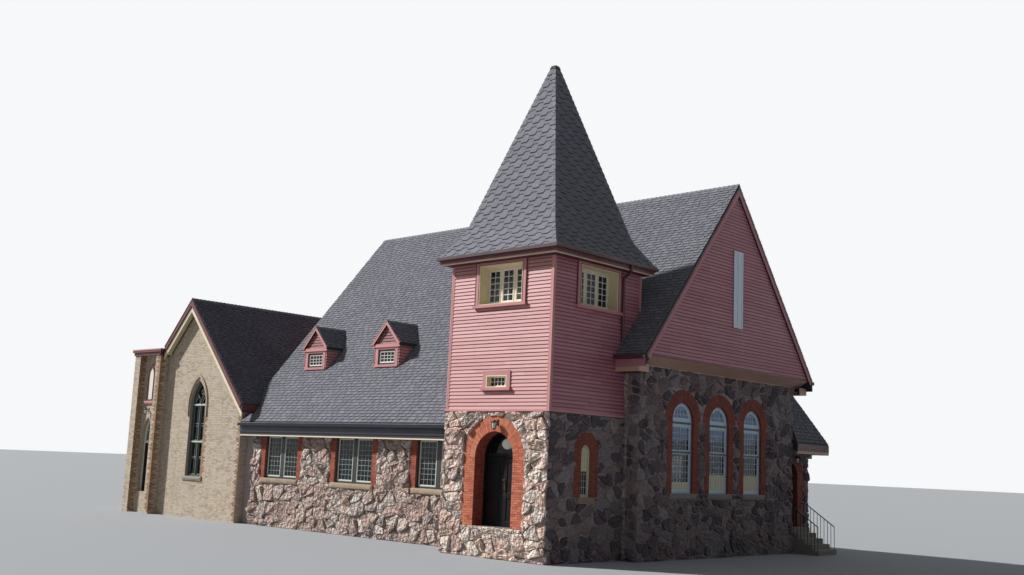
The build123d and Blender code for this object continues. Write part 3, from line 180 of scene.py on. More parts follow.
class Side:  # a flat face of the building, with its own across and up directions
    def __init__(self, origin, across, up):
        self.origin = Vector(origin)
        self.across = Vector(across).normalized()
        self.up = Vector(up).normalized()
        self.out = self.across.cross(self.up)

    def at(self, u, v, lift=0.0):
        return tuple(self.origin + self.across * u + self.up * v + self.out * lift)

    def flat(self, point):
        away = Vector(point) - self.origin
        return away.dot(self.across), away.dot(self.up)

    def cells(self, *names):
        # the outlines of the frame's faces that lie in this plane
        found = []
        for name in names:
            mesh = nodes[name].data
            for poly in mesh.polygons:
                if poly.normal.dot(self.out) < 0.999:
                    continue
                corners = [mesh.vertices[i].co for i in poly.vertices]
                if abs((corners[0] - self.origin).dot(self.out)) > 0.0015:
                    continue
                outline = [self.flat(p) for p in corners]
                if areaOf(outline) > 1e-7:
                    found.append(outline)
        return merged(found)


def frontSide(y):
    return Side((0, y, 0), (1, 0, 0), (0, 0, 1))


def rearSide(y):
    return Side((0, y, 0), (-1, 0, 0), (0, 0, 1))


def eastSide(x):
    return Side((x, 0, 0), (0, 1, 0), (0, 0, 1))


def westSide(x):
    return Side((x, 0, 0), (0, -1, 0), (0, 0, 1))


# Collecting a mesh

class Pile:  # gathers corners and faces, with a tone for each face and a rise for each corner
    def __init__(self):
        self.points = []
        self.rises = []
        self.faces = []
        self.tones = []

    def add(self, points, faces, tone=0.5, rises=None):
        start = len(self.points)
        self.points.extend(points)
        self.rises.extend(rises or [0.0] * len(points))
        self.faces.extend(tuple(start + i for i in face) for face in faces)
        self.tones.extend([tone] * len(faces))

    def patch(self, side, outline, lowLift, highLift, span, tone):
        # a thin raised piece over an outline, with another lift at each end of span
        low, high = span
        count = len(outline)
        rises = [(v - low) / (high - low) for _, v in outline]
        top = [side.at(p[0], p[1], lowLift + (highLift - lowLift) * rise)
               for p, rise in zip(outline, rises)]
        foot = [side.at(u, v, 0.0) for u, v in outline]
        faces = [tuple(range(count))]
        faces += [(i, i + count, (i + 1) % count + count, (i + 1) % count) for i in range(count)]
        self.add(top + foot, faces, tone, rises * 2)

    def prism(self, side, outline, lowLift, highLift, tone=0.5):
        # a closed flat piece of one thickness
        count = len(outline)
        if count < 3:
            return
        points = [side.at(u, v, highLift) for u, v in outline]
        points += [side.at(u, v, lowLift) for u, v in outline]
        faces = [tuple(range(count)), tuple(range(2 * count - 1, count - 1, -1))]
        faces += [(i, i + count, (i + 1) % count + count, (i + 1) % count) for i in range(count)]
        self.add(points, faces, tone)

    def box(self, side, lowU, lowV, highU, highV, lowLift, highLift, tone=0.5):
        self.prism(side, rect(lowU, lowV, highU, highV), lowLift, highLift, tone)

    def block(self, low, high, tone=0.5):
        # a board laid square with the building
        side = frontSide(low[1])
        self.box(side, low[0], low[2], high[0], high[2], low[1] - high[1], 0.0, tone)

    def loft(self, rings, tone=0.5, closed=False):
        # skins a row of rings that have the same number of points
        count = len(rings[0])
        points = [p for ring in rings for p in ring]
        faces = []
        for r in range(len(rings) - (0 if closed else 1)):
            a, b = r * count, ((r + 1) % len(rings)) * count
            for i in range(count):
                j = (i + 1) % count
                faces.append((a + i, a + j, b + j, b + i))
        if not closed:
            faces.append(tuple(range(count))[::-1])
            faces.append(tuple((len(rings) - 1) * count + i for i in range(count)))
        self.add(points, faces, tone)

    def moulding(self, side, path, profile, tone=0.5, closed=False):
        # runs a profile of (offset to the left, lift) along a path, mitred at its corners
        rings = []
        for i, (u, v) in enumerate(path):
            ways = []
            if i or closed:
                ways.append((u - path[i - 1][0], v - path[i - 1][1]))
            if i < len(path) - 1 or closed:
                after = path[(i + 1) % len(path)]
                ways.append((after[0] - u, after[1] - v))
            normals = [(-b / math.hypot(a, b), a / math.hypot(a, b)) for a, b in ways]
            leftU = sum(n[0] for n in normals) / len(normals)
            leftV = sum(n[1] for n in normals) / len(normals)
            size = leftU ** 2 + leftV ** 2
            rings.append([side.at(u + leftU / size * off, v + leftV / size * off, lift)
                          for off, lift in profile])
        self.loft(rings, tone, closed)

    def turned(self, centre, profile, count=6, tone=0.5, start=0.0):
        # a shape turned about an upright line, from (radius, height) pairs
        rings = []
        for radius, height in profile:
            ring = []
            for i in range(count):
                angle = start + 2 * math.pi * i / count
                ring.append((centre[0] + radius * math.cos(angle),
                             centre[1] + radius * math.sin(angle), centre[2] + height))
            rings.append(ring)
        self.loft(rings, tone)

    def tube(self, path, radius, count=8, tone=0.5):
        # a round bar along a path of points
        path = [Vector(p) for p in path]
        rings = []
        for i, p in enumerate(path):
            way = (path[min(i + 1, len(path) - 1)] - path[max(i - 1, 0)]).normalized()
            first = way.orthogonal() if i == 0 else first - way * first.dot(way)
            first.normalize()
            second = way.cross(first)
            ring = []
            for k in range(count):
                angle = 2 * math.pi * k / count
                ring.append(tuple(p + first * radius * math.cos(angle)
                                  + second * radius * math.sin(angle)))
            rings.append(ring)
        self.loft(rings, tone)

    def piece(self, name, finish, slot, body="building", smooth=False, stands=(), solid=False):
        mesh = bpy.data.meshes.new(name)
        mesh.from_pydata(self.points, [], self.faces)
        if solid:
            work = bmesh.new()
            work.from_mesh(mesh)
            bmesh.ops.recalc_face_normals(work, faces=work.faces)
            work.to_mesh(mesh)
            work.free()
        mesh.attributes.new("tone", "FLOAT", "FACE").data.foreach_set("value", self.tones)
        mesh.attributes.new("rise", "FLOAT", "POINT").data.foreach_set("value", self.rises)
        if smooth:
            mesh.shade_smooth()
        mesh.materials.append(finishes[finish])
        thing = bpy.data.objects.new(name, mesh)
        bpy.context.scene.collection.objects.link(thing)
        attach(thing, body)
        if stands:
            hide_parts(*stands)
        triangles = sum(len(f) - 2 for f in self.faces)
        totals.append(triangles)
        print("piece", name, triangles)


totals = []


# Shader groups

def newGroup(name, inputs, outputs):
    tree = bpy.data.node_groups.new(name, "ShaderNodeTree")
    for label, kind, value in inputs:
        socket = tree.interface.new_socket(label, in_out="INPUT", socket_type=kind)
        socket.default_value = value
    for label, kind in outputs:
        tree.interface.new_socket(label, in_out="OUTPUT", socket_type=kind)
    return tree, tree.nodes.new("NodeGroupInput"), tree.nodes.new("NodeGroupOutput")


def mathNode(tree, operation, first, second=None, clamp=False):
    node = tree.nodes.new("ShaderNodeMath")
    node.operation = operation
    node.use_clamp = clamp
    for i, value in enumerate((first, second)):
        if value is None:
            continue
        if isinstance(value, (int, float)):
            node.inputs[i].default_value = value
        else:
            tree.links.new(value, node.inputs[i])
    return node.outputs[0]


def makeMottle():
    # soft clouds and fine specks, as two masks from 0 to 1
    tree, given, out = newGroup("mottle", [("Cloud Scale", "NodeSocketFloat", 1.5),
                                           ("Speck Scale", "NodeSocketFloat", 60.0)],
                                [("Cloud", "NodeSocketFloat"), ("Speck", "NodeSocketFloat")])
    place = tree.nodes.new("ShaderNodeTexCoord").outputs["Object"]
    for label, detail, spread in (("Cloud", 4.0, 2.6), ("Speck", 2.0, 2.2)):
        noise = tree.nodes.new("ShaderNodeTexNoise")
        noise.inputs["Detail"].default_value = detail
        tree.links.new(place, noise.inputs["Vector"])
        tree.links.new(given.outputs[label + " Scale"], noise.inputs["Scale"])
        centred = mathNode(tree, "SUBTRACT", noise.outputs["Fac"], 0.5)
        spreadOut = mathNode(tree, "MULTIPLY", centred, spread)
        tree.links.new(mathNode(tree, "ADD", spreadOut, 0.5, True), out.inputs[label])
    return tree


def makeStreaks():
    # rain marks: noise drawn out up and down
    tree, given, out = newGroup("rainStreaks", [("Width", "NodeSocketFloat", 5.0)],
                                [("Mask", "NodeSocketFloat")])
    place = tree.nodes.new("ShaderNodeTexCoord").outputs["Object"]
    squeeze = tree.nodes.new("ShaderNodeVectorMath")
    squeeze.operation = "MULTIPLY"
    squeeze.inputs[1].default_value = (1.0, 1.0, 0.08)
    tree.links.new(place, squeeze.inputs[0])
    noise = tree.nodes.new("ShaderNodeTexNoise")
    noise.inputs["Detail"].default_value = 3.0
    tree.links.new(squeeze.outputs[0], noise.inputs["Vector"])
    tree.links.new(given.outputs["Width"], noise.inputs["Scale"])
    above = mathNode(tree, "SUBTRACT", noise.outputs["Fac"], 0.48)
    tree.links.new(mathNode(tree, "MULTIPLY", above, 4.0, True), out.inputs["Mask"])
    return tree


def makeRelief():
    # heights for the bump: coarse lumps with fine grain on them, and flat split faces
    tree, given, out = newGroup("relief", [("Lump Scale", "NodeSocketFloat", 12.0),
                                           ("Grain Scale", "NodeSocketFloat", 150.0),
                                           ("Grain Share", "NodeSocketFloat", 0.4),
                                           ("Facet Share", "NodeSocketFloat", 0.0)],
                                [("Height", "NodeSocketFloat")])
    place = tree.nodes.new("ShaderNodeTexCoord").outputs["Object"]
    heights = []
    for label in ("Lump Scale", "Grain Scale"):
        noise = tree.nodes.new("ShaderNodeTexNoise")
        noise.inputs["Detail"].default_value = 3.0
        tree.links.new(place, noise.inputs["Vector"])
        tree.links.new(given.outputs[label], noise.inputs["Scale"])
        heights.append(noise.outputs["Fac"])
    grain = mathNode(tree, "MULTIPLY", heights[1], given.outputs["Grain Share"])
    split = tree.nodes.new("ShaderNodeTexVoronoi")
    split.distance = "MANHATTAN"
    tree.links.new(place, split.inputs["Vector"])
    tree.links.new(mathNode(tree, "MULTIPLY", given.outputs["Lump Scale"], 0.8),
                   split.inputs["Scale"])
    facets = mathNode(tree, "MULTIPLY", split.outputs["Distance"], given.outputs["Facet Share"])
    both = mathNode(tree, "ADD", heights[0], grain)
    tree.links.new(mathNode(tree, "ADD", both, facets), out.inputs["Height"])
    return tree


mottle = makeMottle()
streaks = makeStreaks()
relief = makeRelief()


def linear(colour):
    # written as seen on a screen, turned into what the shader takes
    return tuple(c / 12.92 if c <= 0.04045 else ((c + 0.055) / 1.055) ** 2.4 for c in colour) + (1.0,)


def groupIn(tree, group, **values):
    node = tree.nodes.new("ShaderNodeGroup")
    node.node_tree = group
    for label, value in values.items():
        node.inputs[label.replace("_", " ")].default_value = value
    return node


def paintLapShade(tree, colour, start, end, strength):
    # painted shade along an edge: under the course above, or a painted shadow line at a butt when start is
    # over end
    given = tree.nodes.new("ShaderNodeAttribute")
    given.attribute_name = "rise"
    over = mathNode(tree, "SUBTRACT", given.outputs["Fac"], start)
    mask = mathNode(tree, "MULTIPLY", over, 1.0 / (end - start), True)
    sharp = mathNode(tree, "POWER", mask, 0.6)
    darken = tree.nodes.new("ShaderNodeMix")
    darken.data_type = "RGBA"
    darken.blend_type = "MULTIPLY"
    tree.links.new(mathNode(tree, "MULTIPLY", sharp, strength), darken.inputs["Factor"])
    tree.links.new(colour, darken.inputs["A"])
    darken.inputs["B"].default_value = (0.06, 0.045, 0.05, 1.0)
    return darken.outputs["Result"]


def newFinish(name, colours, tone=0.0, cloud=0.5, speck=0.2, cloudScale=1.5, speckScale=60.0,
              streak=0.0, streakWidth=5.0, rough=(0.6, 0.75), lump=12.0, grain=150.0, grainShare=0.4,
              facets=0.0, bump=0.003, metallic=0.0, coat=0.0, shine=0.5, lapShade=None):
    # a finish whose colour runs through a ramp by tone, cloud and speck
    made = bpy.data.materials.new(name)
    made.use_nodes = True
    tree = made.node_tree
    shader = tree.nodes["Principled BSDF"]
    shader.inputs["Metallic"].default_value = metallic
    shader.inputs["Coat Weight"].default_value = coat
    shader.inputs["Specular IOR Level"].default_value = shine
    marks = groupIn(tree, mottle, Cloud_Scale=cloudScale, Speck_Scale=speckScale)
    given = tree.nodes.new("ShaderNodeAttribute")
    given.attribute_name = "tone"
    parts = [(given.outputs["Fac"], tone), (marks.outputs["Cloud"], cloud),
             (marks.outputs["Speck"], speck)]
    total = sum(share for _, share in parts)
    factor = None
    for socket, share in parts:
        if share:
            part = mathNode(tree, "MULTIPLY", socket, share / total)
            factor = part if factor is None else mathNode(tree, "ADD", factor, part)
    ramp = tree.nodes.new("ShaderNodeValToRGB")
    stops = ramp.color_ramp.elements
    while len(stops) < len(colours):
        stops.new(0.5)
    for i, colour in enumerate(colours):
        stops[i].position = i / (len(colours) - 1)
        stops[i].color = linear(colour)
    tree.links.new(factor, ramp.inputs["Fac"])
    colour = ramp.outputs["Color"]
    if streak:
        rain = groupIn(tree, streaks, Width=streakWidth)
        darken = tree.nodes.new("ShaderNodeMix")
        darken.data_type = "RGBA"
        darken.blend_type = "MULTIPLY"
        tree.links.new(mathNode(tree, "MULTIPLY", rain.outputs["Mask"], streak),
                       darken.inputs["Factor"])
        tree.links.new(colour, darken.inputs["A"])
        darken.inputs["B"].default_value = (0.35, 0.33, 0.31, 1.0)
        colour = darken.outputs["Result"]
    if lapShade:
        colour = paintLapShade(tree, colour, *lapShade)
    tree.links.new(colour, shader.inputs["Base Color"])
    spread = mathNode(tree, "MULTIPLY", marks.outputs["Cloud"], rough[1] - rough[0])
    tree.links.new(mathNode(tree, "ADD", spread, rough[0]), shader.inputs["Roughness"])
    height = groupIn(tree, relief, Lump_Scale=lump, Grain_Scale=grain, Grain_Share=grainShare,
                     Facet_Share=facets)
    dent = tree.nodes.new("ShaderNodeBump")
    dent.inputs["Strength"].default_value = 1.0
    dent.inputs["Distance"].default_value = bump
    tree.links.new(height.outputs["Height"], dent.inputs["Height"])
    tree.links.new(dent.outputs["Normal"], shader.inputs["Normal"])
    finishes[name] = made
    return made


finishes = {}
painted = {"tone": 0.5, "speck": 0.1, "cloudScale": 0.9, "speckScale": 90.0, "streak": 0.12,
           "rough": (0.42, 0.6), "lump": 30.0, "grain": 300.0, "bump": 0.0006}
# lap: painted shade on each board where the board above shades it
boarded = {"tone": 0.6, "cloud": 0.4, "speck": 0.1, "cloudScale": 0.7, "speckScale": 90.0,
           "streak": 0.08, "streakWidth": 3.0, "rough": (0.45, 0.62), "lump": 30.0, "grain": 300.0,
           "bump": 0.0008, "lapShade": (0.66, 1.0, 0.93)}
rubble = {"tone": 0.76, "cloud": 0.08, "speck": 0.30, "cloudScale": 4.0, "speckScale": 34.0,
          "rough": (0.75, 0.95), "lump": 8.0, "grain": 45.0, "grainShare": 0.5, "facets": 1.3,
          "bump": 0.07}
bedding = {"speck": 0.4, "rough": (0.85, 0.95), "lump": 25.0, "grain": 200.0, "bump": 0.006}
clay = {"tone": 0.7, "cloud": 0.2, "speckScale": 120.0, "rough": (0.75, 0.9), "lump": 45.0,
        "grain": 300.0}
roofing = {"cloud": 0.10, "speck": 0.45, "cloudScale": 0.6, "speckScale": 110.0, "streak": 0.15,
           "rough": (0.85, 0.97), "lump": 60.0, "grain": 260.0, "grainShare": 0.8, "bump": 0.004}
paint = {
    "trim": [(0.35, 0.15, 0.17), (0.42, 0.20, 0.22)],
    "maroon": [(0.23, 0.11, 0.13), (0.30, 0.15, 0.17)],
    "cove": [(0.74, 0.58, 0.50), (0.81, 0.66, 0.58)],
    "panel": [(0.86, 0.90, 0.94), (0.92, 0.95, 0.98)],
    "casing": [(0.75, 0.51, 0.50), (0.82, 0.59, 0.57)],
    "cream": [(0.88, 0.82, 0.68), (0.94, 0.89, 0.76)],
    "navy": [(0.07, 0.085, 0.14), (0.11, 0.125, 0.185)],
    "darkSash": [(0.13, 0.13, 0.13), (0.19, 0.18, 0.18)],
    "tealSash": [(0.27, 0.31, 0.31), (0.35, 0.39, 0.38)],
    "sash": [(0.72, 0.74, 0.68), (0.80, 0.81, 0.75)],
    "paleSash": [(0.76, 0.86, 0.93), (0.85, 0.93, 0.98)],
    "white": [(0.86, 0.84, 0.79), (0.92, 0.90, 0.86)],
    "lead": [(0.50, 0.54, 0.51), (0.62, 0.65, 0.61)],
    "brownPaint": [(0.34, 0.26, 0.22), (0.42, 0.33, 0.28)],
}
for label, colours in paint.items():
    newFinish(label, colours, **painted)
newFinish("door", [(0.045, 0.035, 0.04), (0.075, 0.06, 0.065)], cloud=0.5, speck=0.2, rough=(0.5, 0.7),
          lump=30.0, grain=300.0, bump=0.0006, shine=0.15)
newFinish("boards", [(0.70, 0.46, 0.45), (0.77, 0.54, 0.53), (0.83, 0.61, 0.60)], **boarded)
# the same paint as boards, darker and more purple: painted shade for the faces that stand in shade
newFinish("shadedBoards", [(0.62, 0.37, 0.41), (0.69, 0.44, 0.48), (0.75, 0.51, 0.55)], **boarded)
# stones of the sunny tower front, paler than those of the shaded sides: partly their own colour, partly
# painted light
newFinish("sunlitStone", [(0.24, 0.22, 0.25), (0.74, 0.60, 0.54), (0.88, 0.79, 0.72), (0.80, 0.64, 0.58),
                        (0.95, 0.89, 0.82), (0.64, 0.58, 0.57), (0.92, 0.79, 0.72), (0.98, 0.95, 0.91),
                        (0.86, 0.85, 0.83)],
          **rubble)
newFinish("aisleStone", [(0.20, 0.19, 0.22), (0.62, 0.50, 0.45), (0.76, 0.68, 0.62), (0.67, 0.53, 0.49),
                         (0.86, 0.80, 0.74), (0.50, 0.46, 0.46), (0.80, 0.69, 0.63), (0.90, 0.87, 0.83),
                         (0.72, 0.71, 0.70)],
          **rubble)
# stones of the shaded walls, darker and bluer: partly their own colour, partly painted shade
newFinish("stone", [(0.07, 0.07, 0.10), (0.16, 0.16, 0.20), (0.42, 0.37, 0.38), (0.30, 0.29, 0.34),
                    (0.58, 0.48, 0.46), (0.44, 0.42, 0.45), (0.68, 0.58, 0.54), (0.52, 0.52, 0.55),
                    (0.74, 0.66, 0.62), (0.86, 0.82, 0.79)],
          tone=0.78, cloud=0.08, speck=0.26, cloudScale=4.0, speckScale=36.0, rough=(0.75, 0.95),
          lump=11.0, grain=55.0, grainShare=0.7, facets=0.9, bump=0.055)
# darker than paleMortar, as painted shade in the deep joints of the sunny front walls
newFinish("shadedJointMortar", [(0.38, 0.34, 0.33), (0.52, 0.47, 0.45)], streak=0.35, **bedding)
newFinish("paleMortar", [(0.60, 0.55, 0.55), (0.73, 0.67, 0.66)], streak=0.25, **bedding)
newFinish("brick", [(0.52, 0.24, 0.17), (0.72, 0.38, 0.27), (0.81, 0.48, 0.35), (0.63, 0.31, 0.22)],
          streak=0.2, **clay)
newFinish("dullBrick", [(0.38, 0.17, 0.14), (0.50, 0.24, 0.19), (0.57, 0.30, 0.24)],
          streak=0.25, **clay)
newFinish("revealBrick", [(0.46, 0.20, 0.15), (0.60, 0.29, 0.21), (0.68, 0.36, 0.26)],
          streak=0.25, **clay)
newFinish("brickJoint", [(0.48, 0.32, 0.26), (0.58, 0.42, 0.35)], cloud=0.5, speck=0.3,
          rough=(0.85, 0.95), bump=0.003)
newFinish("buffBrick", [(0.58, 0.50, 0.41), (0.73, 0.66, 0.57), (0.80, 0.74, 0.66),
                        (0.66, 0.58, 0.49)],
          tone=0.7, cloud=0.3, speck=0.2, cloudScale=0.7, speckScale=120.0, streak=0.2,
          rough=(0.75, 0.9), lump=45.0, grain=300.0, bump=0.003)
newFinish("brownBrick", [(0.47, 0.35, 0.25), (0.60, 0.47, 0.35), (0.68, 0.56, 0.44)],
          speck=0.3, **clay)
newFinish("buffJoint", [(0.58, 0.54, 0.48), (0.68, 0.64, 0.58)], cloud=0.5, speck=0.3, streak=0.2,
          rough=(0.85, 0.95), bump=0.003)
# lap on the shingles: painted shade under the course above; on the spire, a painted shadow line along each
# butt
newFinish("shingle", [(0.32, 0.32, 0.345), (0.42, 0.42, 0.45), (0.53, 0.53, 0.56)],
          tone=0.6, lapShade=(0.78, 1.0, 0.72), **roofing)
newFinish("spireShingle", [(0.34, 0.34, 0.365), (0.44, 0.44, 0.47), (0.54, 0.54, 0.57)],
          tone=0.5, lapShade=(0.085, 0.0, 0.85), **roofing)
# a darker copy of shingle for the chapel roof: painted shade
newFinish("shadedShingle", [(0.22, 0.22, 0.26), (0.32, 0.32, 0.36), (0.43, 0.43, 0.47)],
          tone=0.6, lapShade=(0.78, 1.0, 0.72), **roofing)
newFinish("hipCap", [(0.36, 0.36, 0.39), (0.52, 0.52, 0.55)], tone=0.5, cloud=0.2, speck=0.4,
          speckScale=130.0, rough=(0.85, 0.97), lump=60.0, grain=260.0, bump=0.004)
newFinish("roofEdge", [(0.12, 0.12, 0.14), (0.18, 0.18, 0.20)], cloud=0.5, speck=0.4,
          rough=(0.8, 0.95), bump=0.003)
newFinish("gutter", [(0.10, 0.09, 0.10), (0.15, 0.14, 0.15)], cloud=0.5, speck=0.1, streak=0.3,
          rough=(0.3, 0.5), bump=0.0005, metallic=0.3)
newFinish("darkGutter", [(0.09, 0.10, 0.14), (0.14, 0.15, 0.19)], cloud=0.5, speck=0.1, streak=0.3,
          rough=(0.55, 0.7), bump=0.0005, shine=0.2)
newFinish("greyGutter", [(0.44, 0.45, 0.49), (0.54, 0.55, 0.58)], cloud=0.5, speck=0.1, streak=0.4,
          rough=(0.3, 0.5), bump=0.0005, metallic=0.2)
newFinish("sillStone", [(0.52, 0.44, 0.36), (0.64, 0.56, 0.47), (0.70, 0.63, 0.54)], tone=0.3,
          cloud=0.4, speck=0.3, cloudScale=3.0, rough=(0.8, 0.95), lump=14.0, grain=120.0,
          bump=0.012)
newFinish("greySill", [(0.50, 0.48, 0.44), (0.63, 0.60, 0.55)], tone=0.3, cloud=0.4, speck=0.3,
          cloudScale=3.0, rough=(0.8, 0.95), lump=14.0, grain=120.0, bump=0.008)
newFinish("iron", [(0.05, 0.05, 0.055), (0.10, 0.10, 0.105)], cloud=0.5, speck=0.2,
          rough=(0.35, 0.55), lump=60.0, bump=0.0006, metallic=0.5)
newFinish("opal", [(0.86, 0.85, 0.82), (0.92, 0.91, 0.88)], cloud=0.5, speck=0.1,
          rough=(0.15, 0.25), bump=0.0002, coat=0.3)
lit = newFinish("litOpal", [(0.86, 0.85, 0.82), (0.92, 0.91, 0.88)], cloud=0.5, speck=0.1,
                rough=(0.15, 0.25), bump=0.0002)
lit.node_tree.nodes["Principled BSDF"].inputs["Emission Color"].default_value = (0.9, 0.9, 0.85, 1)
lit.node_tree.nodes["Principled BSDF"].inputs["Emission Strength"].default_value = 0.35
newFinish("floorBoards", [(0.36, 0.26, 0.17), (0.48, 0.36, 0.24)], cloud=0.5, speck=0.3,
          rough=(0.4, 0.6), bump=0.002)
newFinish("blind", [(0.93, 0.86, 0.68), (0.98, 0.93, 0.78)], cloud=0.5, speck=0.3,
          speckScale=200.0, rough=(0.8, 0.95), bump=0.001)
newFinish("brass", [(0.22, 0.20, 0.16), (0.34, 0.31, 0.25)], cloud=0.5, speck=0.2,
          rough=(0.25, 0.4), bump=0.0004, metallic=0.7)


def newGlass(name, colour, alpha, sky=None):
    # window panes: old glass with a slight wave
    made = bpy.data.materials.new(name)
    made.use_nodes = True
    tree = made.node_tree
    shader = tree.nodes["Principled BSDF"]
    shader.inputs["Alpha"].default_value = alpha
    shader.inputs["IOR"].default_value = 1.5
    marks = groupIn(tree, mottle, Cloud_Scale=0.8, Speck_Scale=8.0)
    mix = tree.nodes.new("ShaderNodeMix")
    mix.data_type = "RGBA"
    tree.links.new(marks.outputs["Cloud"], mix.inputs["Factor"])
    mix.inputs["A"].default_value = linear(colour)
    mix.inputs["B"].default_value = linear(tuple(c * 1.35 for c in colour))
    shown = mix.outputs["Result"]
    if sky:
        # a painted sky reflection: a paler band above a wavy line at the given height, up to a last height
        low, high, last, pale = sky
        place = tree.nodes.new("ShaderNodeTexCoord")
        parts = tree.nodes.new("ShaderNodeSeparateXYZ")
        tree.links.new(place.outputs["Object"], parts.inputs[0])
        wave = mathNode(tree, "MULTIPLY", marks.outputs["Cloud"], 0.25)
        over = mathNode(tree, "SUBTRACT", mathNode(tree, "ADD", parts.outputs["Z"], wave), low)
        share = mathNode(tree, "MULTIPLY", over, 1.0 / (high - low), True)
        under = mathNode(tree, "LESS_THAN", parts.outputs["Z"], last)
        share = mathNode(tree, "MULTIPLY", share, under)
        skyReflection = tree.nodes.new("ShaderNodeMix")
        skyReflection.data_type = "RGBA"
        tree.links.new(share, skyReflection.inputs["Factor"])
        tree.links.new(shown, skyReflection.inputs["A"])
        skyReflection.inputs["B"].default_value = linear(pale)
        shown = skyReflection.outputs["Result"]
    tree.links.new(shown, shader.inputs["Base Color"])
    rough = mathNode(tree, "MULTIPLY", marks.outputs["Speck"], 0.05)
    tree.links.new(mathNode(tree, "ADD", rough, 0.03), shader.inputs["Roughness"])
    height = groupIn(tree, relief, Lump_Scale=2.5, Grain_Scale=12.0, Grain_Share=0.2)
    dent = tree.nodes.new("ShaderNodeBump")
    dent.inputs["Strength"].default_value = 0.35
    dent.inputs["Distance"].default_value = 0.01
    tree.links.new(height.outputs["Height"], dent.inputs["Height"])
    tree.links.new(dent.outputs["Normal"], shader.inputs["Normal"])
    finishes[name] = made


newGlass("pane", (0.09, 0.12, 0.16), 0.40)
# the glass higher than 3.98 m carries a painted sky reflection
newGlass("hallPane", (0.10, 0.13, 0.15), 0.50, (3.98, 4.06, 5.6, (0.52, 0.66, 0.82)))
newGlass("clearPane", (0.10, 0.10, 0.11), 0.25)
newGlass("greenPane", (0.36, 0.42, 0.40), 0.75)
print("finishes made:", len(finishes))

nodeFinish = {
    "shadedJointMortar": ["tower_front_wall_left", "tower_front_wall_right", "tower_front_wall_over_door",
               "hall_front_wall", "tower_doorstep"],
    "paleMortar": ["tower_left_wall", "tower_right_wall", "tower_rear_wall", "hall_corner_wall",
                   "gable_wall", "hall_rear_wall", "hall_west_wall", "side_wall",
                   "side_wall_over_door", "side_doorstep"],
    "casing": ["dormers"],
    "boards": ["tower_siding"],
    "shadedBoards": ["gable_siding"],
    "trim": ["tower_cornice", "porch_cornice"],
    "cream": ["chapel_eaves", "tower_windows"],
    "navy": ["hall_eaves"],
    "roofEdge": ["tower_roof", "hall_roof_front", "hall_roof_rear", "dormer_roofs", "chapel_roof"],
    "maroon": ["tower_gutter"],
    "darkGutter": ["hall_gutters"],
    "darkSash": ["hall_windows"],
    "tealSash": ["chapel_windows"],
    "white": ["porch_door_frame"],
    "paleSash": ["gable_windows"],
    "pane": ["tower_glass", "chapel_glass"],
    "hallPane": ["hall_glass"],
    "clearPane": ["door_fanlight"],
    "brickJoint": ["door_arch", "window_surrounds", "side_door_arch"],
    "sillStone": ["window_sills"],
    "greySill": ["side_steps"],
    "door": ["door_frame", "left_door", "right_door", "side_door", "porch_door"],
    "iron": ["side_railings", "wall_lanterns"],
    "floorBoards": ["floors"],
    "buffJoint": ["chapel_front_wall", "chapel_side_walls", "chapel_rear_wall",
                  "porch_front_wall_left", "porch_front_wall_right", "porch_front_wall_over_door",
                  "porch_doorstep", "porch_walls"],
    "buffBrick": ["chapel_trim"],
}
for label, names in nodeFinish.items():
    for name in names:
        nodes[name].data.materials.clear()
        nodes[name].data.materials.append(finishes[label])


# Boards, shingles, bricks, stones

def nearCells(cells, lowV, highV):
    return [(cell, box) for cell, box in cells if box[1] < highV and box[3] > lowV]


def layStrip(pile, side, cells, shape, lifts, span, tone, smallest=2e-5):
    # one raised piece, cut to the cells that it crosses
    lowU, _, highU, _ = boxOf(shape)
    for cell, box in cells:
        if box[0] >= highU or box[2] <= lowU:
            continue
        part = overlap(shape, cell)
        if part and areaOf(part) > smallest:
            pile.patch(side, part, lifts[0], lifts[1], span, tone)


def withBoxes(cells):
    return [(cell, boxOf(cell)) for cell in cells]


clapboards = {"exposure": 0.116, "butt": 0.023, "top": 0.002, "longest": 4.2, "shortest": 2.2,
              "seam": 0.003, "gableFoot": 6.545, "westFoot": 6.3, "seed": 11}
dormer = {"middles": (-13.4, -8.89), "face": 2.798, "half": 0.75, "eaveHalf": 0.84, "eaveZ": 7.3,
          "ridgeZ": 8.19, "verge": 2.708}


def layBoards(pile, side, cells, lowV, rng):
    cells = withBoxes(cells)
    if not cells:
        return
    lowU = min(box[0] for _, box in cells)
    highU = max(box[2] for _, box in cells)
    topV = max(box[3] for _, box in cells)
    step = clapboards["exposure"]
    v = lowV
    while v < topV:
        near = nearCells(cells, v, v + step)
        u = lowU - rng.uniform(0, clapboards["shortest"])
        while u < highU:
            end = u + rng.uniform(clapboards["shortest"], clapboards["longest"])
            layStrip(pile, side, near, rect(u + clapboards["seam"] / 2, v,
                                            end - clapboards["seam"] / 2, v + step),
                     (clapboards["butt"], clapboards["top"]), (v, v + step), rng.random())
            u = end
        v += step


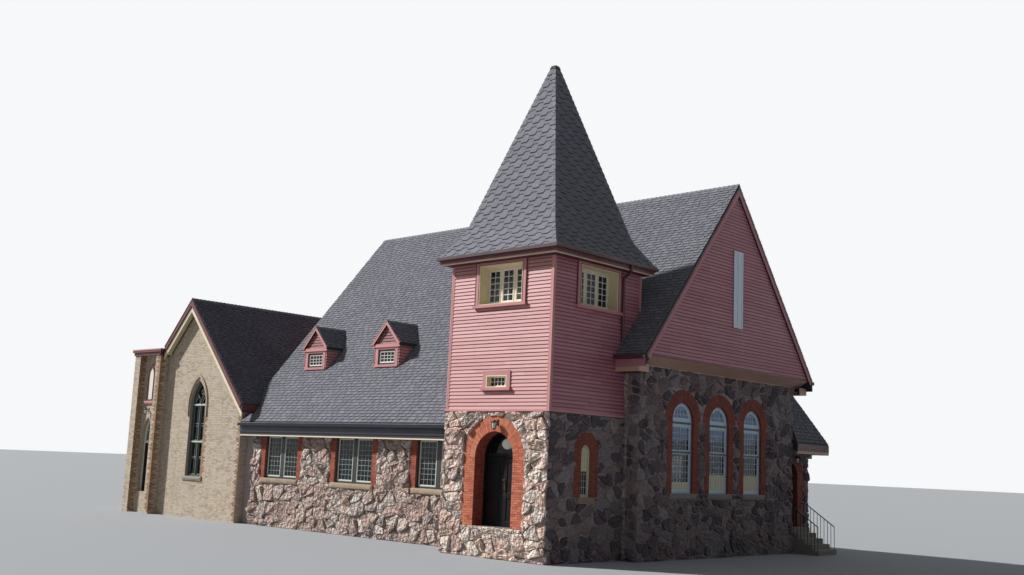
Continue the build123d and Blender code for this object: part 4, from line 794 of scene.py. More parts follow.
def makeClapboards():
    rng = random.Random(clapboards["seed"])
    half = church["towerHalf"]
    jobs = (("tower_front_clapboards", "boards", (frontSide(church["towerFront"]),)),
            ("tower_side_clapboards", "shadedBoards",
             (eastSide(half), westSide(-half), rearSide(church["towerRear"]))))
    for name, finish, sides in jobs:
        pile = Pile()
        for side in sides:
            layBoards(pile, side, side.cells("tower_siding"), church["stoneTop"] + 0.06, rng)
        pile.piece(name, finish, "red_boards")
    pile = Pile()
    for side, node, foot in ((eastSide(church["gableBoard"]), "gable_siding", clapboards["gableFoot"]),
                             (westSide(church["hallWest"]), "hall_west_wall", clapboards["westFoot"])):
        layBoards(pile, side, above(side.cells(node), foot), foot, rng)
    pile.piece("gable_clapboards", "shadedBoards", "red_boards")
    pile = Pile()
    for middle in dormer["middles"]:
        for side in (frontSide(dormer["face"]), eastSide(middle + dormer["half"]),
                     westSide(middle - dormer["half"])):
            layBoards(pile, side, side.cells("dormers"), 6.0, rng)
    pile.piece("dormer_clapboards", "boards", "red_boards")


shingles = {"exposure": 0.143, "base": 0.010, "tab": 0.026, "shortTab": 0.13, "longTab": 0.34,
            "shortGap": 0.07, "longGap": 0.16, "strip": 1.0, "seed": 21}


def layShingles(pile, side, cells, rng):
    # laminated shingles: a plain strip with uneven tabs bonded on it
    step = shingles["exposure"]
    cells = withBoxes(cells)
    lowU = min(box[0] for _, box in cells)
    highU = max(box[2] for _, box in cells)
    lowV = min(box[1] for _, box in cells)
    topV = max(box[3] for _, box in cells)
    v = lowV
    while v < topV:
        near = nearCells(cells, v, v + step)
        u = lowU - rng.uniform(0, shingles["strip"])
        while u < highU:
            end = u + shingles["strip"]
            layStrip(pile, side, near, rect(u, v, end, v + step),
                     (shingles["base"], 0.002), (v, v + step), 0.15 + 0.35 * rng.random())
            u = end
        u = lowU - rng.uniform(0, shingles["longTab"])
        while u < highU:
            end = u + rng.uniform(shingles["shortTab"], shingles["longTab"])
            layStrip(pile, side, near, rect(u, v, end, v + step),
                     (shingles["tab"], 0.006), (v, v + step), 0.35 + 0.65 * rng.random())
            u = end + rng.uniform(shingles["shortGap"], shingles["longGap"])
        v += step


def slopeSide(y, z, pitch, rear=False):
    # a roof slope that climbs along Y from its eave
    if rear:
        return Side((0, y, z), (-1, 0, 0), (0, -1, pitch))
    return Side((0, y, z), (1, 0, 0), (0, 1, pitch))


def sideSlope(x, z, pitch, west=False):
    # a roof slope that climbs along X from its eave
    if west:
        return Side((x, 0, z), (0, -1, 0), (1, 0, pitch))
    return Side((x, 0, z), (0, 1, 0), (-1, 0, pitch))


def hallZ(y):
    return church["ridgeZ"] - church["hallPitch"] * abs(church["ridgeY"] - y)


def chapelZ(x):
    return church["chapelZ"] - church["chapelPitch"] * abs(church["chapelX"] - x)


def makeRoofs():
    rng = random.Random(shingles["seed"])
    eaveY = church["eaveY"]
    rearY = 2 * church["ridgeY"] - eaveY
    jobs = [("hall_front_shingles", [("hall_roof_front", slopeSide(eaveY, hallZ(eaveY),
                                                                   church["hallPitch"]))]),
            ("hall_rear_shingles", [("hall_roof_rear", slopeSide(rearY, hallZ(rearY),
                                                                 church["hallPitch"], True)),
                                    ("hall_roof_rear", sideSlope(3.05, hallZ(eaveY), 2.514))])]
    edge = church["chapelHalf"] + church["chapelOver"]
    low = chapelZ(church["chapelX"] + edge)
    jobs.append(("chapel_shingles", [
        ("chapel_roof", sideSlope(church["chapelX"] + edge, low, church["chapelPitch"])),
        ("chapel_roof", sideSlope(church["chapelX"] - edge, low, church["chapelPitch"], True))]))
    small = []
    half, z = dormer["eaveHalf"], dormer["eaveZ"]
    for middle in dormer["middles"]:
        pitch = (dormer["ridgeZ"] - z) / half
        small.append(("dormer_roofs", sideSlope(middle + half, z, pitch)))
        small.append(("dormer_roofs", sideSlope(middle - half, z, pitch, True)))
    jobs.append(("dormer_shingles", small))
    for name, faces in jobs:
        pile = Pile()
        for node, side in faces:
            layShingles(pile, side, above(side.cells(node), 0.03), rng)
        pile.piece(name, "shadedShingle" if name == "chapel_shingles" else "shingle", "shingles")


spire = {"eaveHalf": 2.567, "bendHalf": 1.9772, "bendZ": 10.32, "topZ": 16.39, "slope": 0.3146,
         "tipZ": 16.605, "bendRadius": 1.8, "exposure": 0.24, "base": 0.020, "tab": 0.034,
         "drop": 0.10, "tabWide": 0.33, "pitch": 0.56, "cut": 0.045, "capWide": 0.15,
         "capStep": 0.2, "capThick": 0.026, "seed": 31}


capFaces = [(0, 1, 4, 3), (1, 2, 5, 4), (6, 7, 1, 0), (7, 8, 2, 1), (0, 3, 9, 6), (2, 8, 11, 5)]


class SpireFace:  # one of the four curved faces, by distance across and along the profile
    def __init__(self, quarter):
        self.turn = quarter * math.pi / 2
        eave = Vector((spire["eaveHalf"], church["towerEave"]))
        bend = Vector((spire["bendHalf"], spire["bendZ"]))
        top = Vector((spire["slope"] * (spire["tipZ"] - spire["topZ"]), spire["topZ"]))
        toEave = (eave - bend).normalized()
        toTop = (top - bend).normalized()
        opening = toEave.angle(toTop)
        reach = spire["bendRadius"] / math.tan(opening / 2)
        centre = bend + (toEave + toTop).normalized() * (spire["bendRadius"]
                                                         / math.sin(opening / 2))
        start, end = bend + toEave * reach, bend + toTop * reach
        line = [eave]
        for i in range(9):
            way = (start - centre).lerp(end - centre, i / 8).normalized()
            line.append(centre + way * spire["bendRadius"])
        line.append(top)
        self.line = line
        self.marks = [0.0]
        for a, b in zip(line, line[1:]):
            self.marks.append(self.marks[-1] + (b - a).length)
        self.length = self.marks[-1]

    def profile(self, v):
        i = 0
        while i < len(self.line) - 2 and self.marks[i + 1] < v:
            i += 1
        a, b = self.line[i], self.line[i + 1]
        t = (v - self.marks[i]) / (self.marks[i + 1] - self.marks[i])
        way = (b - a).normalized()
        return a + (b - a) * t, Vector((way.y, -way.x))

    def at(self, u, v, lift=0.0):
        spot, out = self.profile(v)
        spot = spot + out * lift
        x, y = u, -spot.x
        c, s = math.cos(self.turn), math.sin(self.turn)
        return (x * c - y * s, x * s + y * c + church["towerMiddle"], spot.y)


def makeSpire():
    rng = random.Random(spire["seed"])
    pile = Pile()
    caps = Pile()
    step = spire["exposure"]
    for quarter in range(4):
        face = SpireFace(quarter)
        last = face.length - 0.015
        drop, cut, wide = spire["drop"], spire["cut"], spire["tabWide"]
        for row in range(-1, int(last / step) + 1):
            # each strip starts a little above the ends of its tabs and runs on under the next row
            low, high = row * step, min((row + 1) * step + drop, last)
            first = max(low, 0.0)
            if high - first < 0.02:
                continue
            wideLow, wideHigh = face.profile(first)[0].x, face.profile(high)[0].x
            cell = [(-wideLow, first), (wideLow, first), (wideHigh, high), (-wideHigh, high)]
            near = [(cell, boxOf(cell))]
            count = int(wideLow / 0.5) + 1
            for i in range(-count, count):
                layStrip(pile, face, near, rect(i * 0.5, low + drop, (i + 1) * 0.5, high),
                         (spire["base"], 0.004), (low + drop, high), 0.40 + 0.2 * rng.random())
            u = (0.5 * (row % 2) - int(wideLow / spire["pitch"]) - 1) * spire["pitch"]
            while u < wideLow:
                shape = [(u + cut, low), (u + wide - cut, low), (u + wide, low + drop),
                         (u + wide, high), (u, high), (u, low + drop)]
                layStrip(pile, face, near, shape, (spire["tab"], 0.006), (low, high),
                         0.42 + 0.25 * rng.random())
                u += spire["pitch"]
        for i in range(int(last / spire["capStep"])):
            low = i * spire["capStep"]
            high = min(low + spire["capStep"] * 1.02, last - 0.015)
            layHipCap(caps, face, low, high, 0.3 + 0.7 * rng.random())
    pile.piece("spire_shingles", "spireShingle", "shingles")
    caps.piece("spire_hip_caps", "hipCap", "shingles")


def layHipCap(pile, face, low, high, tone):
    # one bent cap over the hip between this face and the next
    other = SpireFace.__new__(SpireFace)
    other.__dict__.update(face.__dict__)
    other.turn = face.turn + math.pi / 2
    rows = []
    for v, lift in ((low, spire["capThick"]), (high, 0.012), (low, 0.0), (high, 0.0)):
        half = face.profile(v)[0].x
        wide = min(spire["capWide"], half)
        left = face.at(half - wide, v, lift)
        right = other.at(-half + wide, v, lift)
        corner = Vector(face.at(half, v, lift)) + Vector(other.at(-half, v, lift))
        base = Vector(face.at(half, v, 0.0))
        peak = base + (corner / 2 - base) * 2.0
        rows.append([left, tuple(peak), right])
    pile.add([p for row in rows for p in row], capFaces, tone)


def layRidge(pile, first, last, leftDown, rightDown, rng, wide=0.14, step=0.2, thick=0.022):
    # caps along a ridge from first to last; the two downs are unit vectors along the slopes
    first, last = Vector(first), Vector(last)
    leftDown, rightDown = Vector(leftDown).normalized(), Vector(rightDown).normalized()
    way = (last - first).normalized()
    count = max(1, int((last - first).length / step))
    size = (last - first).length / count
    for i in range(count):
        rows = []
        for s, lift in ((i * size, thick), ((i + 1.02) * size, 0.008), (i * size, 0.0),
                        ((i + 1.02) * size, 0.0)):
            spot = first + way * min(s, (last - first).length) + Vector((0, 0, lift * 1.4))
            rows.append([tuple(spot + leftDown * wide), tuple(spot), tuple(spot + rightDown * wide)])
        pile.add([p for row in rows for p in row], capFaces, 0.3 + 0.7 * rng.random())


def makeRidges():
    rng = random.Random(41)
    pile = Pile()
    y, z, pitch = church["ridgeY"], church["ridgeZ"], church["hallPitch"]
    layRidge(pile, (church["vergeEast"], y, z + 0.004), (church["vergeWest"], y, z + 0.004),
             (0, -1, -pitch), (0, 1, -pitch), rng)
    x, z, pitch = church["chapelX"], church["chapelZ"], church["chapelPitch"]
    layRidge(pile, (x, church["chapelFront"] - church["chapelVerge"], z + 0.004),
             (x, church["aisleRear"] + church["chapelVerge"], z + 0.004),
             (-1, 0, -pitch), (1, 0, -pitch), rng)
    for x in dormer["middles"]:
        back = church["ridgeY"] - (church["ridgeZ"] - dormer["ridgeZ"]) / church["hallPitch"]
        layRidge(pile, (x, 2.72, 8.194), (x, back, 8.194), (-1, 0, -1.06), (1, 0, -1.06), rng,
                 wide=0.1, step=0.16, thick=0.012)
    pile.piece("ridge_caps", "hipCap", "shingles")


bricks = {"long": 0.213, "course": 0.073, "joint": 0.010, "proud": 0.006, "seed": 51}


def layBricks(pile, side, cells, rng, other=None, edges=()):
    # bricks that come within reach of one of the edges go to the other pile, in toothed blocks
    cells = withBoxes(cells)
    if not cells:
        return
    length = bricks["long"]
    lowU = min(box[0] for _, box in cells)
    highU = max(box[2] for _, box in cells)
    lowV = min(box[1] for _, box in cells)
    topV = max(box[3] for _, box in cells)
    gap = bricks["joint"] / 2
    row = math.floor(lowV / bricks["course"])
    while row * bricks["course"] < topV:
        v = row * bricks["course"]
        near = nearCells(cells, v, v + bricks["course"])
        u = lowU - length * (0.5 * (row % 2) + 0.25)
        while u < highU:
            middle = u + length / 2
            reach = 0.26 if (row // 3) % 2 else 0.13
            toothed = any(abs(middle - edge) < reach and low < v < high
                          for edge, low, high in edges)
            layStrip(other if toothed else pile, side, near,
                     rect(u + gap, v + gap, u + length - gap, v + bricks["course"] - gap),
                     (bricks["proud"], bricks["proud"]), (v, v + 1), rng.random(), 1e-4)
            u += length
        row += 1


def layRing(pile, side, centre, inner, outer, rng, last=math.pi):
    # voussoirs: two rings of bricks on edge round an arch, from its right side to the angle last
    rings = 2
    deep = (outer - inner) / rings
    gap = bricks["joint"] / 2
    for ring in range(rings):
        near, far = inner + ring * deep, inner + (ring + 1) * deep
        count = max(3, round(last * (near + far) / 2 / 0.078))
        for i in range(count):
            a = last * i / count + gap / near
            b = last * (i + 1) / count - gap / near
            shape = []
            for radius, angle in ((near + gap, a), (near + gap, b), (far - gap, b), (far - gap, a)):
                shape.append((centre[0] + radius * math.cos(angle),
                              centre[1] + radius * math.sin(angle)))
            if areaOf(shape) < 0:
                shape.reverse()
            pile.patch(side, shape, bricks["proud"], bricks["proud"], (0, 1), rng.random())


def makeRedBrick():
    rng = random.Random(bricks["seed"])
    pile = Pile()
    # main doorway: ring and jambs, then its deep reveal in duller brick
    side = frontSide(church["towerFront"])
    spring, half, ring = 3.046, 0.812, 0.48
    layRing(pile, side, (0, spring), half, half + ring, rng)
    layBricks(pile, side, below(side.cells("door_arch"), spring), rng)
    pile.piece("doorway_brickwork", "brick", "red_brick")
    pile = Pile()
    deep = 0.43
    for inner in (westSide(half), eastSide(-half)):
        sign = 1 if inner.out.x > 0 else -1
        low, high = sorted((sign * church["towerFront"], sign * (church["towerFront"] + deep)))
        layBricks(pile, inner, [rect(low, church["floorTop"], high, spring)], rng)
    layIntrados(pile, side, (0, spring), half, deep, rng)
    pile.piece("doorway_reveal", "revealBrick", "red_brick")

    pile = Pile()
    side = eastSide(church["gableFace"])
    half, spring = 0.61, 4.53
    for y in (8.145 - 2.215, 8.145, 8.145 + 2.215):
        layRing(pile, side, (y, spring), half, 1.05, rng)
        layIntrados(pile, side, (y, spring), half, 0.085, rng)
        for jamb in (frontSide(y + half), rearSide(y - half)):
            layBricks(pile, jamb, jamb.cells("window_surrounds"), rng)
    layBricks(pile, side, below(side.cells("window_surrounds"), spring), rng)
    side = eastSide(church["towerHalf"])
    layBricks(pile, side, side.cells("window_surrounds"), rng)
    pile.piece("arched_window_brickwork", "dullBrick", "red_brick")
    pile = Pile()
    for side in (frontSide(church["aisleFront"]), rearSide(church["aisleRear"])):
        layBricks(pile, side, side.cells("window_surrounds"), rng)
    pile.piece("aisle_window_brickwork", "revealBrick", "red_brick")

    pile = Pile()
    side = eastSide(church["sideFace"])
    spring, middle, half = 2.88, 13.96, 0.5
    layBricks(pile, side, below(side.cells("side_door_arch"), spring), rng)
    layRing(pile, side, (middle, spring), half, 0.94, rng, last=2.6)
    layIntrados(pile, side, (middle, spring), half, 0.39, rng)
    for jamb in (frontSide(14.46), rearSide(13.46)):
        layBricks(pile, jamb, jamb.cells("side_door_arch"), rng)
    pile.piece("side_doorway_brickwork", "dullBrick", "red_brick")


def layIntrados(pile, side, centre, radius, deep, rng):
    # the bricks under an arch, seen from inside the opening
    count = round(math.pi * radius / bricks["course"])
    width = math.pi * radius / count / 2 - bricks["joint"] / 2
    for i in range(count):
        angle = math.pi * (i + 0.5) / count
        spot = side.at(centre[0] + radius * math.cos(angle), centre[1] + radius * math.sin(angle))
        facing = Side(spot, side.up * math.cos(angle) - side.across * math.sin(angle), -side.out)
        start = 0.0 if i % 2 else -0.1
        while start < deep:
            low, high = max(start, 0.0) + 0.005, min(start + bricks["long"], deep) - 0.005
            if high - low > 0.02:
                pile.patch(facing, rect(-width, low, width, high), bricks["proud"],
                           bricks["proud"], (0, 1), rng.random())
            start += bricks["long"]


def makeBuffBrick():
    rng = random.Random(61)
    left, right = church["chapelX"] - church["chapelHalf"], church["hallWest"]
    porchLeft, porchRight = church["porchLeft"], church["porchRight"]
    brown = Pile()
    jobs = [
        ("chapel_front_bricks", [
            (frontSide(church["chapelFront"]), ["chapel_front_wall"],
             [(right, 0, 4.9), (-18.60, 1.7, 4.4)]),
            (eastSide(right), ["chapel_front_wall", "chapel_side_walls"], [])]),
        ("chapel_side_bricks", [
            (westSide(left), ["chapel_side_walls", "chapel_front_wall", "chapel_rear_wall"], [])]),
        ("chapel_rear_bricks", [
            (rearSide(church["aisleRear"]), ["chapel_rear_wall", "chapel_side_walls"], [])]),
        ("entrance_tower_bricks", [
            (frontSide(church["porchFront"]), ["porch_front_wall_left", "porch_front_wall_right"],
             [(porchRight, 0, 7.3)]),
            (frontSide(church["porchFace"]), ["porch_front_wall_left", "porch_front_wall_right",
                                              "porch_front_wall_over_door", "porch_doorstep"], []),
            (eastSide(porchRight), ["porch_front_wall_right", "porch_walls"],
             [(church["porchFront"], 0, 7.3)]),
            (westSide(porchLeft), ["porch_front_wall_left", "porch_walls"], []),
            (eastSide(porchLeft + 0.48), ["porch_front_wall_left"],
             [(church["porchFront"] + 0.1, 0, 7.3)]),
            (westSide(porchRight - 0.39), ["porch_front_wall_right"], []),
            (rearSide(church["porchRear"]), ["porch_walls"], [])]),
    ]
    for name, faces in jobs:
        pile = Pile()
        for side, names, edges in faces:
            layBricks(pile, side, side.cells(*names), rng, brown, edges)
        pile.piece(name, "buffBrick", "buff_brick")
    brown.piece("chapel_quoin_bricks", "brownBrick", "buff_brick")


stones = {"jitter": 0.48, "missing": 0.34, "lifts": (0.028, 0.080), "round": 0.038, "seed": 71}
split = {"wide": 0.46, "high": 0.315, "gap": 0.007, "cut": (0.06, 0.16), "finish": "sunlitStone"}
aisleSplit = dict(split, finish="aisleStone")
laid = {"wide": 0.345, "high": 0.255, "gap": 0.014, "cut": (0.14, 0.25), "finish": "stone"}


def widened(cells, edges):
    # moves the given upright edges outward, so that stones meet round a corner
    moved = []
    for cell in cells:
        shape = []
        for u, v in cell:
            shift = sum(by for edge, by in edges if abs(u - edge) < 0.002)
            shape.append((u + shift, v))
        moved.append(shape)
    return moved


def layStones(pile, side, cells, rng, kind):
    # each stone is what lies nearer to its own middle than to its neighbours'
    wide, high = kind["wide"], kind["high"]
    cells = withBoxes(cells)
    if not cells:
        return
    lowU = min(box[0] for _, box in cells) - wide
    highU = max(box[2] for _, box in cells) + wide
    lowV = min(box[1] for _, box in cells) - high
    highV = max(box[3] for _, box in cells) + high
    stretch = wide / high
    columns, rows = int((highU - lowU) / wide) + 2, int((highV - lowV) / high) + 2
    spots = {}
    for i in range(columns):
        for j in range(rows):
            shift = 0.5 * (j % 2)
            du, dv = rng.uniform(-1, 1), rng.uniform(-1, 1)
            keep = rng.random() > stones["missing"]
            if keep:
                spots[i, j] = ((i + shift + du * stones["jitter"]) * wide + lowU,
                               ((j + dv * stones["jitter"]) * high + lowV) * stretch)
    for (i, j), spot in spots.items():
        reach = 1.3 * wide
        outline = rect(spot[0] - reach, spot[1] - reach, spot[0] + reach, spot[1] + reach)
        for di in range(-3, 4):
            for dj in range(-3, 4):
                other = spots.get((i + di, j + dj))
                if other is None or (di == 0 and dj == 0):
                    continue
                a, b = other[0] - spot[0], other[1] - spot[1]
                middle = (other[0] ** 2 + other[1] ** 2 - spot[0] ** 2 - spot[1] ** 2) / 2
                outline = clip(outline, a, b, middle)
        outline = [(u, v / stretch) for u, v in outline]
        if len(outline) < 3:
            continue
        box = boxOf(outline)
        parts = []
        for cell, around in cells:
            if around[0] < box[2] and around[2] > box[0] and around[1] < box[3] and around[3] > box[1]:
                part = overlap(outline, cell)
                if len(part) > 2 and areaOf(part) > 1e-5:
                    parts.append(part)
        if not parts:
            continue
        shown = sum(areaOf(p) for p in parts)
        if shown > 0.985 * areaOf(outline):
            shapes = [outline]
        else:
            whole = hull([p for part in parts for p in part])
            if len(whole) > 2 and areaOf(whole) < 1.06 * shown:
                shapes = [whole]
            else:
                shapes = parts
        for shape in shapes:
            layStone(pile, side, shape, rng, kind)


def layStone(pile, side, outline, rng, kind):
    outline = inset(outline, kind["gap"] * rng.uniform(0.6, 1.5))
    if len(outline) < 3 or areaOf(outline) < 0.002:
        return
    outline = [p for i, p in enumerate(outline)
               if math.hypot(p[0] - outline[i - 1][0], p[1] - outline[i - 1][1]) > 0.02]
    if len(outline) < 3:
        return
    box = boxOf(outline)
    size = min(box[2] - box[0], box[3] - box[1])
    wobble = min(0.007, 0.05 * size)
    shape = [(u + rng.uniform(-wobble, wobble), max(v + rng.uniform(-wobble, wobble), 0.001))
             for u, v in softened(outline, rng.uniform(*kind["cut"]))]
    lift = min(rng.uniform(*stones["lifts"]), 0.32 * size)
    count = len(shape)
    middle = (sum(p[0] for p in shape) / count, sum(p[1] for p in shape) / count)
    tilt = (rng.uniform(-0.34, 0.34), rng.uniform(-0.34, 0.34))
    crown = (middle[0] + rng.uniform(-0.15, 0.15) * size, middle[1] + rng.uniform(-0.15, 0.15) * size)

    points = []
    for scale, height, rough in ((1.0, 0.0, 0.0), (0.98, 0.55, 0.3), (0.90, 0.86, 0.32),
                                 (0.60, 1.0, 0.36), (0.28, 1.05, 0.34)):
        for u, v in shape:
            du, dv = (u - middle[0]) * scale, (v - middle[1]) * scale
            rise = lift * height * (1 + rng.uniform(-rough, rough))
            rise += (du * tilt[0] + dv * tilt[1]) * height
            points.append(side.at(crown[0] + du + (middle[0] - crown[0]) * scale,
                                  crown[1] + dv + (middle[1] - crown[1]) * scale,
                                  max(rise, 0.013 * height)))
    points.append(side.at(crown[0], crown[1], lift * rng.uniform(0.9, 1.25)))
    faces = []
    for r in range(4):
        for i in range(count):
            j = (i + 1) % count
            faces.append((r * count + i, r * count + j, (r + 1) * count + j, (r + 1) * count + i))
    for i in range(count):
        faces.append((4 * count + i, 4 * count + (i + 1) % count, 5 * count))
    pile.add(points, faces, rng.random())


def makeStonework():
    rng = random.Random(stones["seed"])
    half = church["towerHalf"]
    towerNodes = ["tower_front_wall_left", "tower_front_wall_right", "tower_front_wall_over_door",
                  "tower_doorstep", "tower_left_wall", "tower_right_wall", "tower_rear_wall"]
    by = stones["round"]
    front, rear = church["towerFront"], church["towerRear"]
    jobs = [
        ("tower_front_stones", split, [(frontSide(front), towerNodes, [(-half, -by), (half, by)])]),
        ("tower_side_stones", laid, [(eastSide(half), towerNodes, [(front, -by), (rear, by)]),
                                     (westSide(-half), towerNodes, [(-front, by), (-rear, -by)])]),
        ("hall_front_stones", aisleSplit, [
            (frontSide(church["aisleFront"]), ["hall_front_wall"], []),
            (frontSide(church["gableFront"]), ["hall_corner_wall"], [])]),
        ("gable_stones", laid, [
            (eastSide(church["gableFace"]), ["gable_wall"],
             [(church["gableFront"], -by), (church["gableRear"], by)]),
            (rearSide(church["gableRear"]), ["gable_wall"], [(-church["gableFace"], -by)]),
            (frontSide(church["gableFront"]), ["gable_wall"], [(church["gableFace"], by)])]),
        ("side_door_stones", laid, [
            (eastSide(church["sideFace"]), ["side_wall", "side_wall_over_door", "side_doorstep",
                                            "hall_rear_wall"], [(church["aisleRear"], by)]),
            (rearSide(church["aisleRear"]), ["side_wall"], [(-church["sideFace"], -by)])]),
        ("hall_rear_stones", laid, [(rearSide(church["aisleRear"]), ["hall_rear_wall"], [])]),
    ]
    for name, kind, faces in jobs:
        pile = Pile()
        for side, names, edges in faces:
            layStones(pile, side, widened(side.cells(*names), edges), rng, kind)
        pile.piece(name, kind["finish"], "fieldstone")


# Windows

def archPath(middle, half, low, spring, share=1.0, steps=10):
    # up the right side of an opening, over its round or pointed arch and down the left side
    rise = half * share
    radius = (half ** 2 + rise ** 2) / (2 * half)
    away = radius - half
    last = math.acos(away / radius)
    right = [(radius * math.cos(last * i / steps) - away, radius * math.sin(last * i / steps))
             for i in range(steps + 1)]
    path = [(middle + half, low)] if low < spring else []
    path += [(middle + u, spring + v) for u, v in right]
    path += [(middle - u, spring + v) for u, v in right[-2::-1]]
    return path + ([(middle - half, low)] if low < spring else [])


def layBars(pile, side, outline, columns, rows, bar, lifts, box=None):
    # glazing bars, evenly spaced over a box and cut to the outline
    lowU, lowV, highU, highV = box or boxOf(outline)
    for i in range(1, columns):
        u = lowU + (highU - lowU) * i / columns
        pile.prism(side, overlap(rect(u - bar / 2, lowV, u + bar / 2, highV), outline), *lifts)
    for j in range(1, rows):
        v = lowV + (highV - lowV) * j / rows
        pile.prism(side, overlap(rect(lowU, v - bar / 2, highU, v + bar / 2), outline),
                   lifts[0], lifts[1] - 0.0015)


def layRim(pile, side, path, wide, lifts, closed=True):
    # a moulded frame inside a path, with a bevel towards the glass
    low, high = lifts
    pile.moulding(side, path, [(0.0, low), (0.0, high), (wide * 0.62, high),
                               (wide * 0.72, high - 0.008), (wide, high - 0.012), (wide, low)],
                  closed=closed)


belfry = {"low": 7.86, "high": 9.15, "starts": (-0.845, -0.2567, 0.3317),
          "wide": 0.5133, "lightLow": 7.965, "lightHigh": 9.045, "rim": 0.052, "columns": 2,
          "rows": 5, "bar": 0.022, "glass": -0.347, "front": -0.316}


def makeBelfryWindows():
    pile = Pile()
    edges = Pile()
    middle = church["towerMiddle"]
    half = church["towerHalf"]
    for side, shift in ((frontSide(church["towerFront"]), 0.0), (eastSide(half), middle),
                        (westSide(-half), -middle)):
        for start in belfry["starts"]:
            box = rect(shift + start, belfry["lightLow"], shift + start + belfry["wide"],
                       belfry["lightHigh"])
            layRim(pile, side, box, belfry["rim"], (belfry["glass"], belfry["front"]))
            layBars(pile, side, inset(box, belfry["rim"]), belfry["columns"], belfry["rows"],
                    belfry["bar"], (belfry["glass"], belfry["front"] - 0.012))
        # a red moulding round the outer edge of the casing, and a red strip up each side
        low, high = belfry["low"], belfry["high"] + 0.133
        for u in (shift - 1.10, shift + 1.10):
            edges.box(side, u - 0.012, low, u + 0.012, high, 0.0, 0.054)
        layRim(edges, side, rect(shift - 0.962, low - 0.012, shift + 0.962, belfry["high"] + 0.012),
               0.016, (0.03, 0.056))
    # the small window half way up, and the arched one beside the stair
    side = frontSide(church["towerFront"])
    slot = rect(-0.41, 5.25, 0.41, 5.57)
    layRim(pile, side, slot, 0.035, (-0.13, -0.105))
    layBars(pile, side, inset(slot, 0.035), 5, 2, 0.02, (-0.13, -0.115))
    pile.piece("tower_sashes", "white", "cream_paint", solid=True)
    edges.piece("tower_window_mouldings", "trim", "red_boards", solid=True)
    pile = Pile()
    side = eastSide(half)
    path = archPath(1.603, 0.198, 2.014, 3.31)
    layRim(pile, side, path, 0.034, (-0.122, -0.096))
    layBars(pile, side, inset(path, 0.034), 3, 7, 0.014, (-0.122, -0.108))
    pile.piece("stair_window_sash", "sash", "cream_paint", solid=True)
    pile = Pile()
    pile.prism(side, clip(inset(path, 0.03), 0, -1, -2.75), -0.122, -0.118)
    pile.piece("stair_window_blind", "blind", "cream_paint", solid=True)


aisle = {"middles": (-4.231, -8.789, -13.347), "low": 1.971, "high": 3.57,
         "lights": ((-1.01, -0.115), (0.115, 1.01)), "rim": 0.058, "columns": 4, "rows": 8,
         "bar": 0.015, "glass": -0.122, "front": -0.092}


def makeHallWindows():
    pile = Pile()
    lead = Pile()
    for side, sign in ((frontSide(church["aisleFront"]), 1), (rearSide(church["aisleRear"]), -1)):
        for middle in aisle["middles"]:
            for start, end in aisle["lights"]:
                box = rect(sign * middle + start, aisle["low"], sign * middle + end, aisle["high"])
                layRim(pile, side, box, aisle["rim"], (aisle["glass"], aisle["front"]))
                layBars(lead, side, inset(box, aisle["rim"]), aisle["columns"], aisle["rows"],
                        aisle["bar"], (aisle["glass"], aisle["glass"] + 0.010))
    pile.piece("aisle_sashes", "sash", "cream_paint", solid=True)
    lead.piece("aisle_leading", "lead", "cream_paint", solid=True)
    pile = Pile()
    side = frontSide(dormer["face"])
    for middle in dormer["middles"]:
        box = rect(middle - 0.43, 6.55, middle + 0.43, 7.0)
        layRim(pile, side, box, 0.045, (-0.052, -0.022))
        layBars(pile, side, inset(box, 0.045), 4, 3, 0.02, (-0.052, -0.036))
    pile.piece("dormer_sashes", "white", "cream_paint", solid=True)


gable = {"middles": (5.93, 8.145, 10.36), "half": 0.54, "sill": 2.217, "spring": 4.53,
         "glass": -0.122, "front": -0.074, "fanRim": 0.085, "rim": 0.046, "columns": 6, "pitch": 0.21,
         "bar": 0.013, "blinds": (2.52, 2.80, 2.80), "lowerTop": 3.4725, "rail": (3.468, 3.532),
         "transom": (4.36, 4.43, 4.5025)}


def makeGableWindows():
    frames = Pile()
    bars = Pile()
    dark = Pile()
    blinds = Pile()
    side = eastSide(church["gableFace"])
    half, spring, glass, front = gable["half"], gable["spring"], gable["glass"], gable["front"]
    for middle, blindTop in zip(gable["middles"], gable["blinds"]):
        left, right = middle - half, middle + half
        # the arched fan light on its double transom
        fan = archPath(middle, half, spring + 0.0275, spring + 0.0275, steps=14)
        layRim(frames, side, fan, gable["fanRim"], (glass, front))
        layBars(bars, side, inset(fan, gable["fanRim"] * 0.9), gable["columns"], 3, gable["bar"],
                (glass, glass + 0.012), (left, spring + 0.0275, right, spring + 0.60))
        foot, joint, head = gable["transom"]
        frames.box(side, left, foot, right, joint, glass, front)
        dark.box(side, left, joint, right, head, glass, front + 0.006)
        # two sashes, one above the other
        for low, high, lift in ((spring - 1.0, foot, 0.0),
                                (gable["sill"], gable["lowerTop"], -0.012)):
            box = rect(left, low, right, high)
            layRim(frames, side, box, gable["rim"], (glass, glass + 0.03 + lift))
            inner = inset(box, gable["rim"])
            rows = round((high - low) / gable["pitch"])
            layBars(bars, side, inner, gable["columns"], rows, gable["bar"], (glass, glass + 0.013))
        dark.box(side, left, gable["rail"][0], right, gable["rail"][1], glass, front)
        blinds.box(side, left + 0.04, gable["sill"] + 0.04, right - 0.04, blindTop, glass, glass + 0.004)
    frames.piece("gable_sashes", "paleSash", "cream_paint", solid=True)
    bars.piece("gable_glazing_bars", "paleSash", "cream_paint", solid=True)
    dark.piece("gable_window_rails", "navy", "cream_paint", solid=True)
    blinds.piece("gable_window_blinds", "blind", "cream_paint", solid=True)


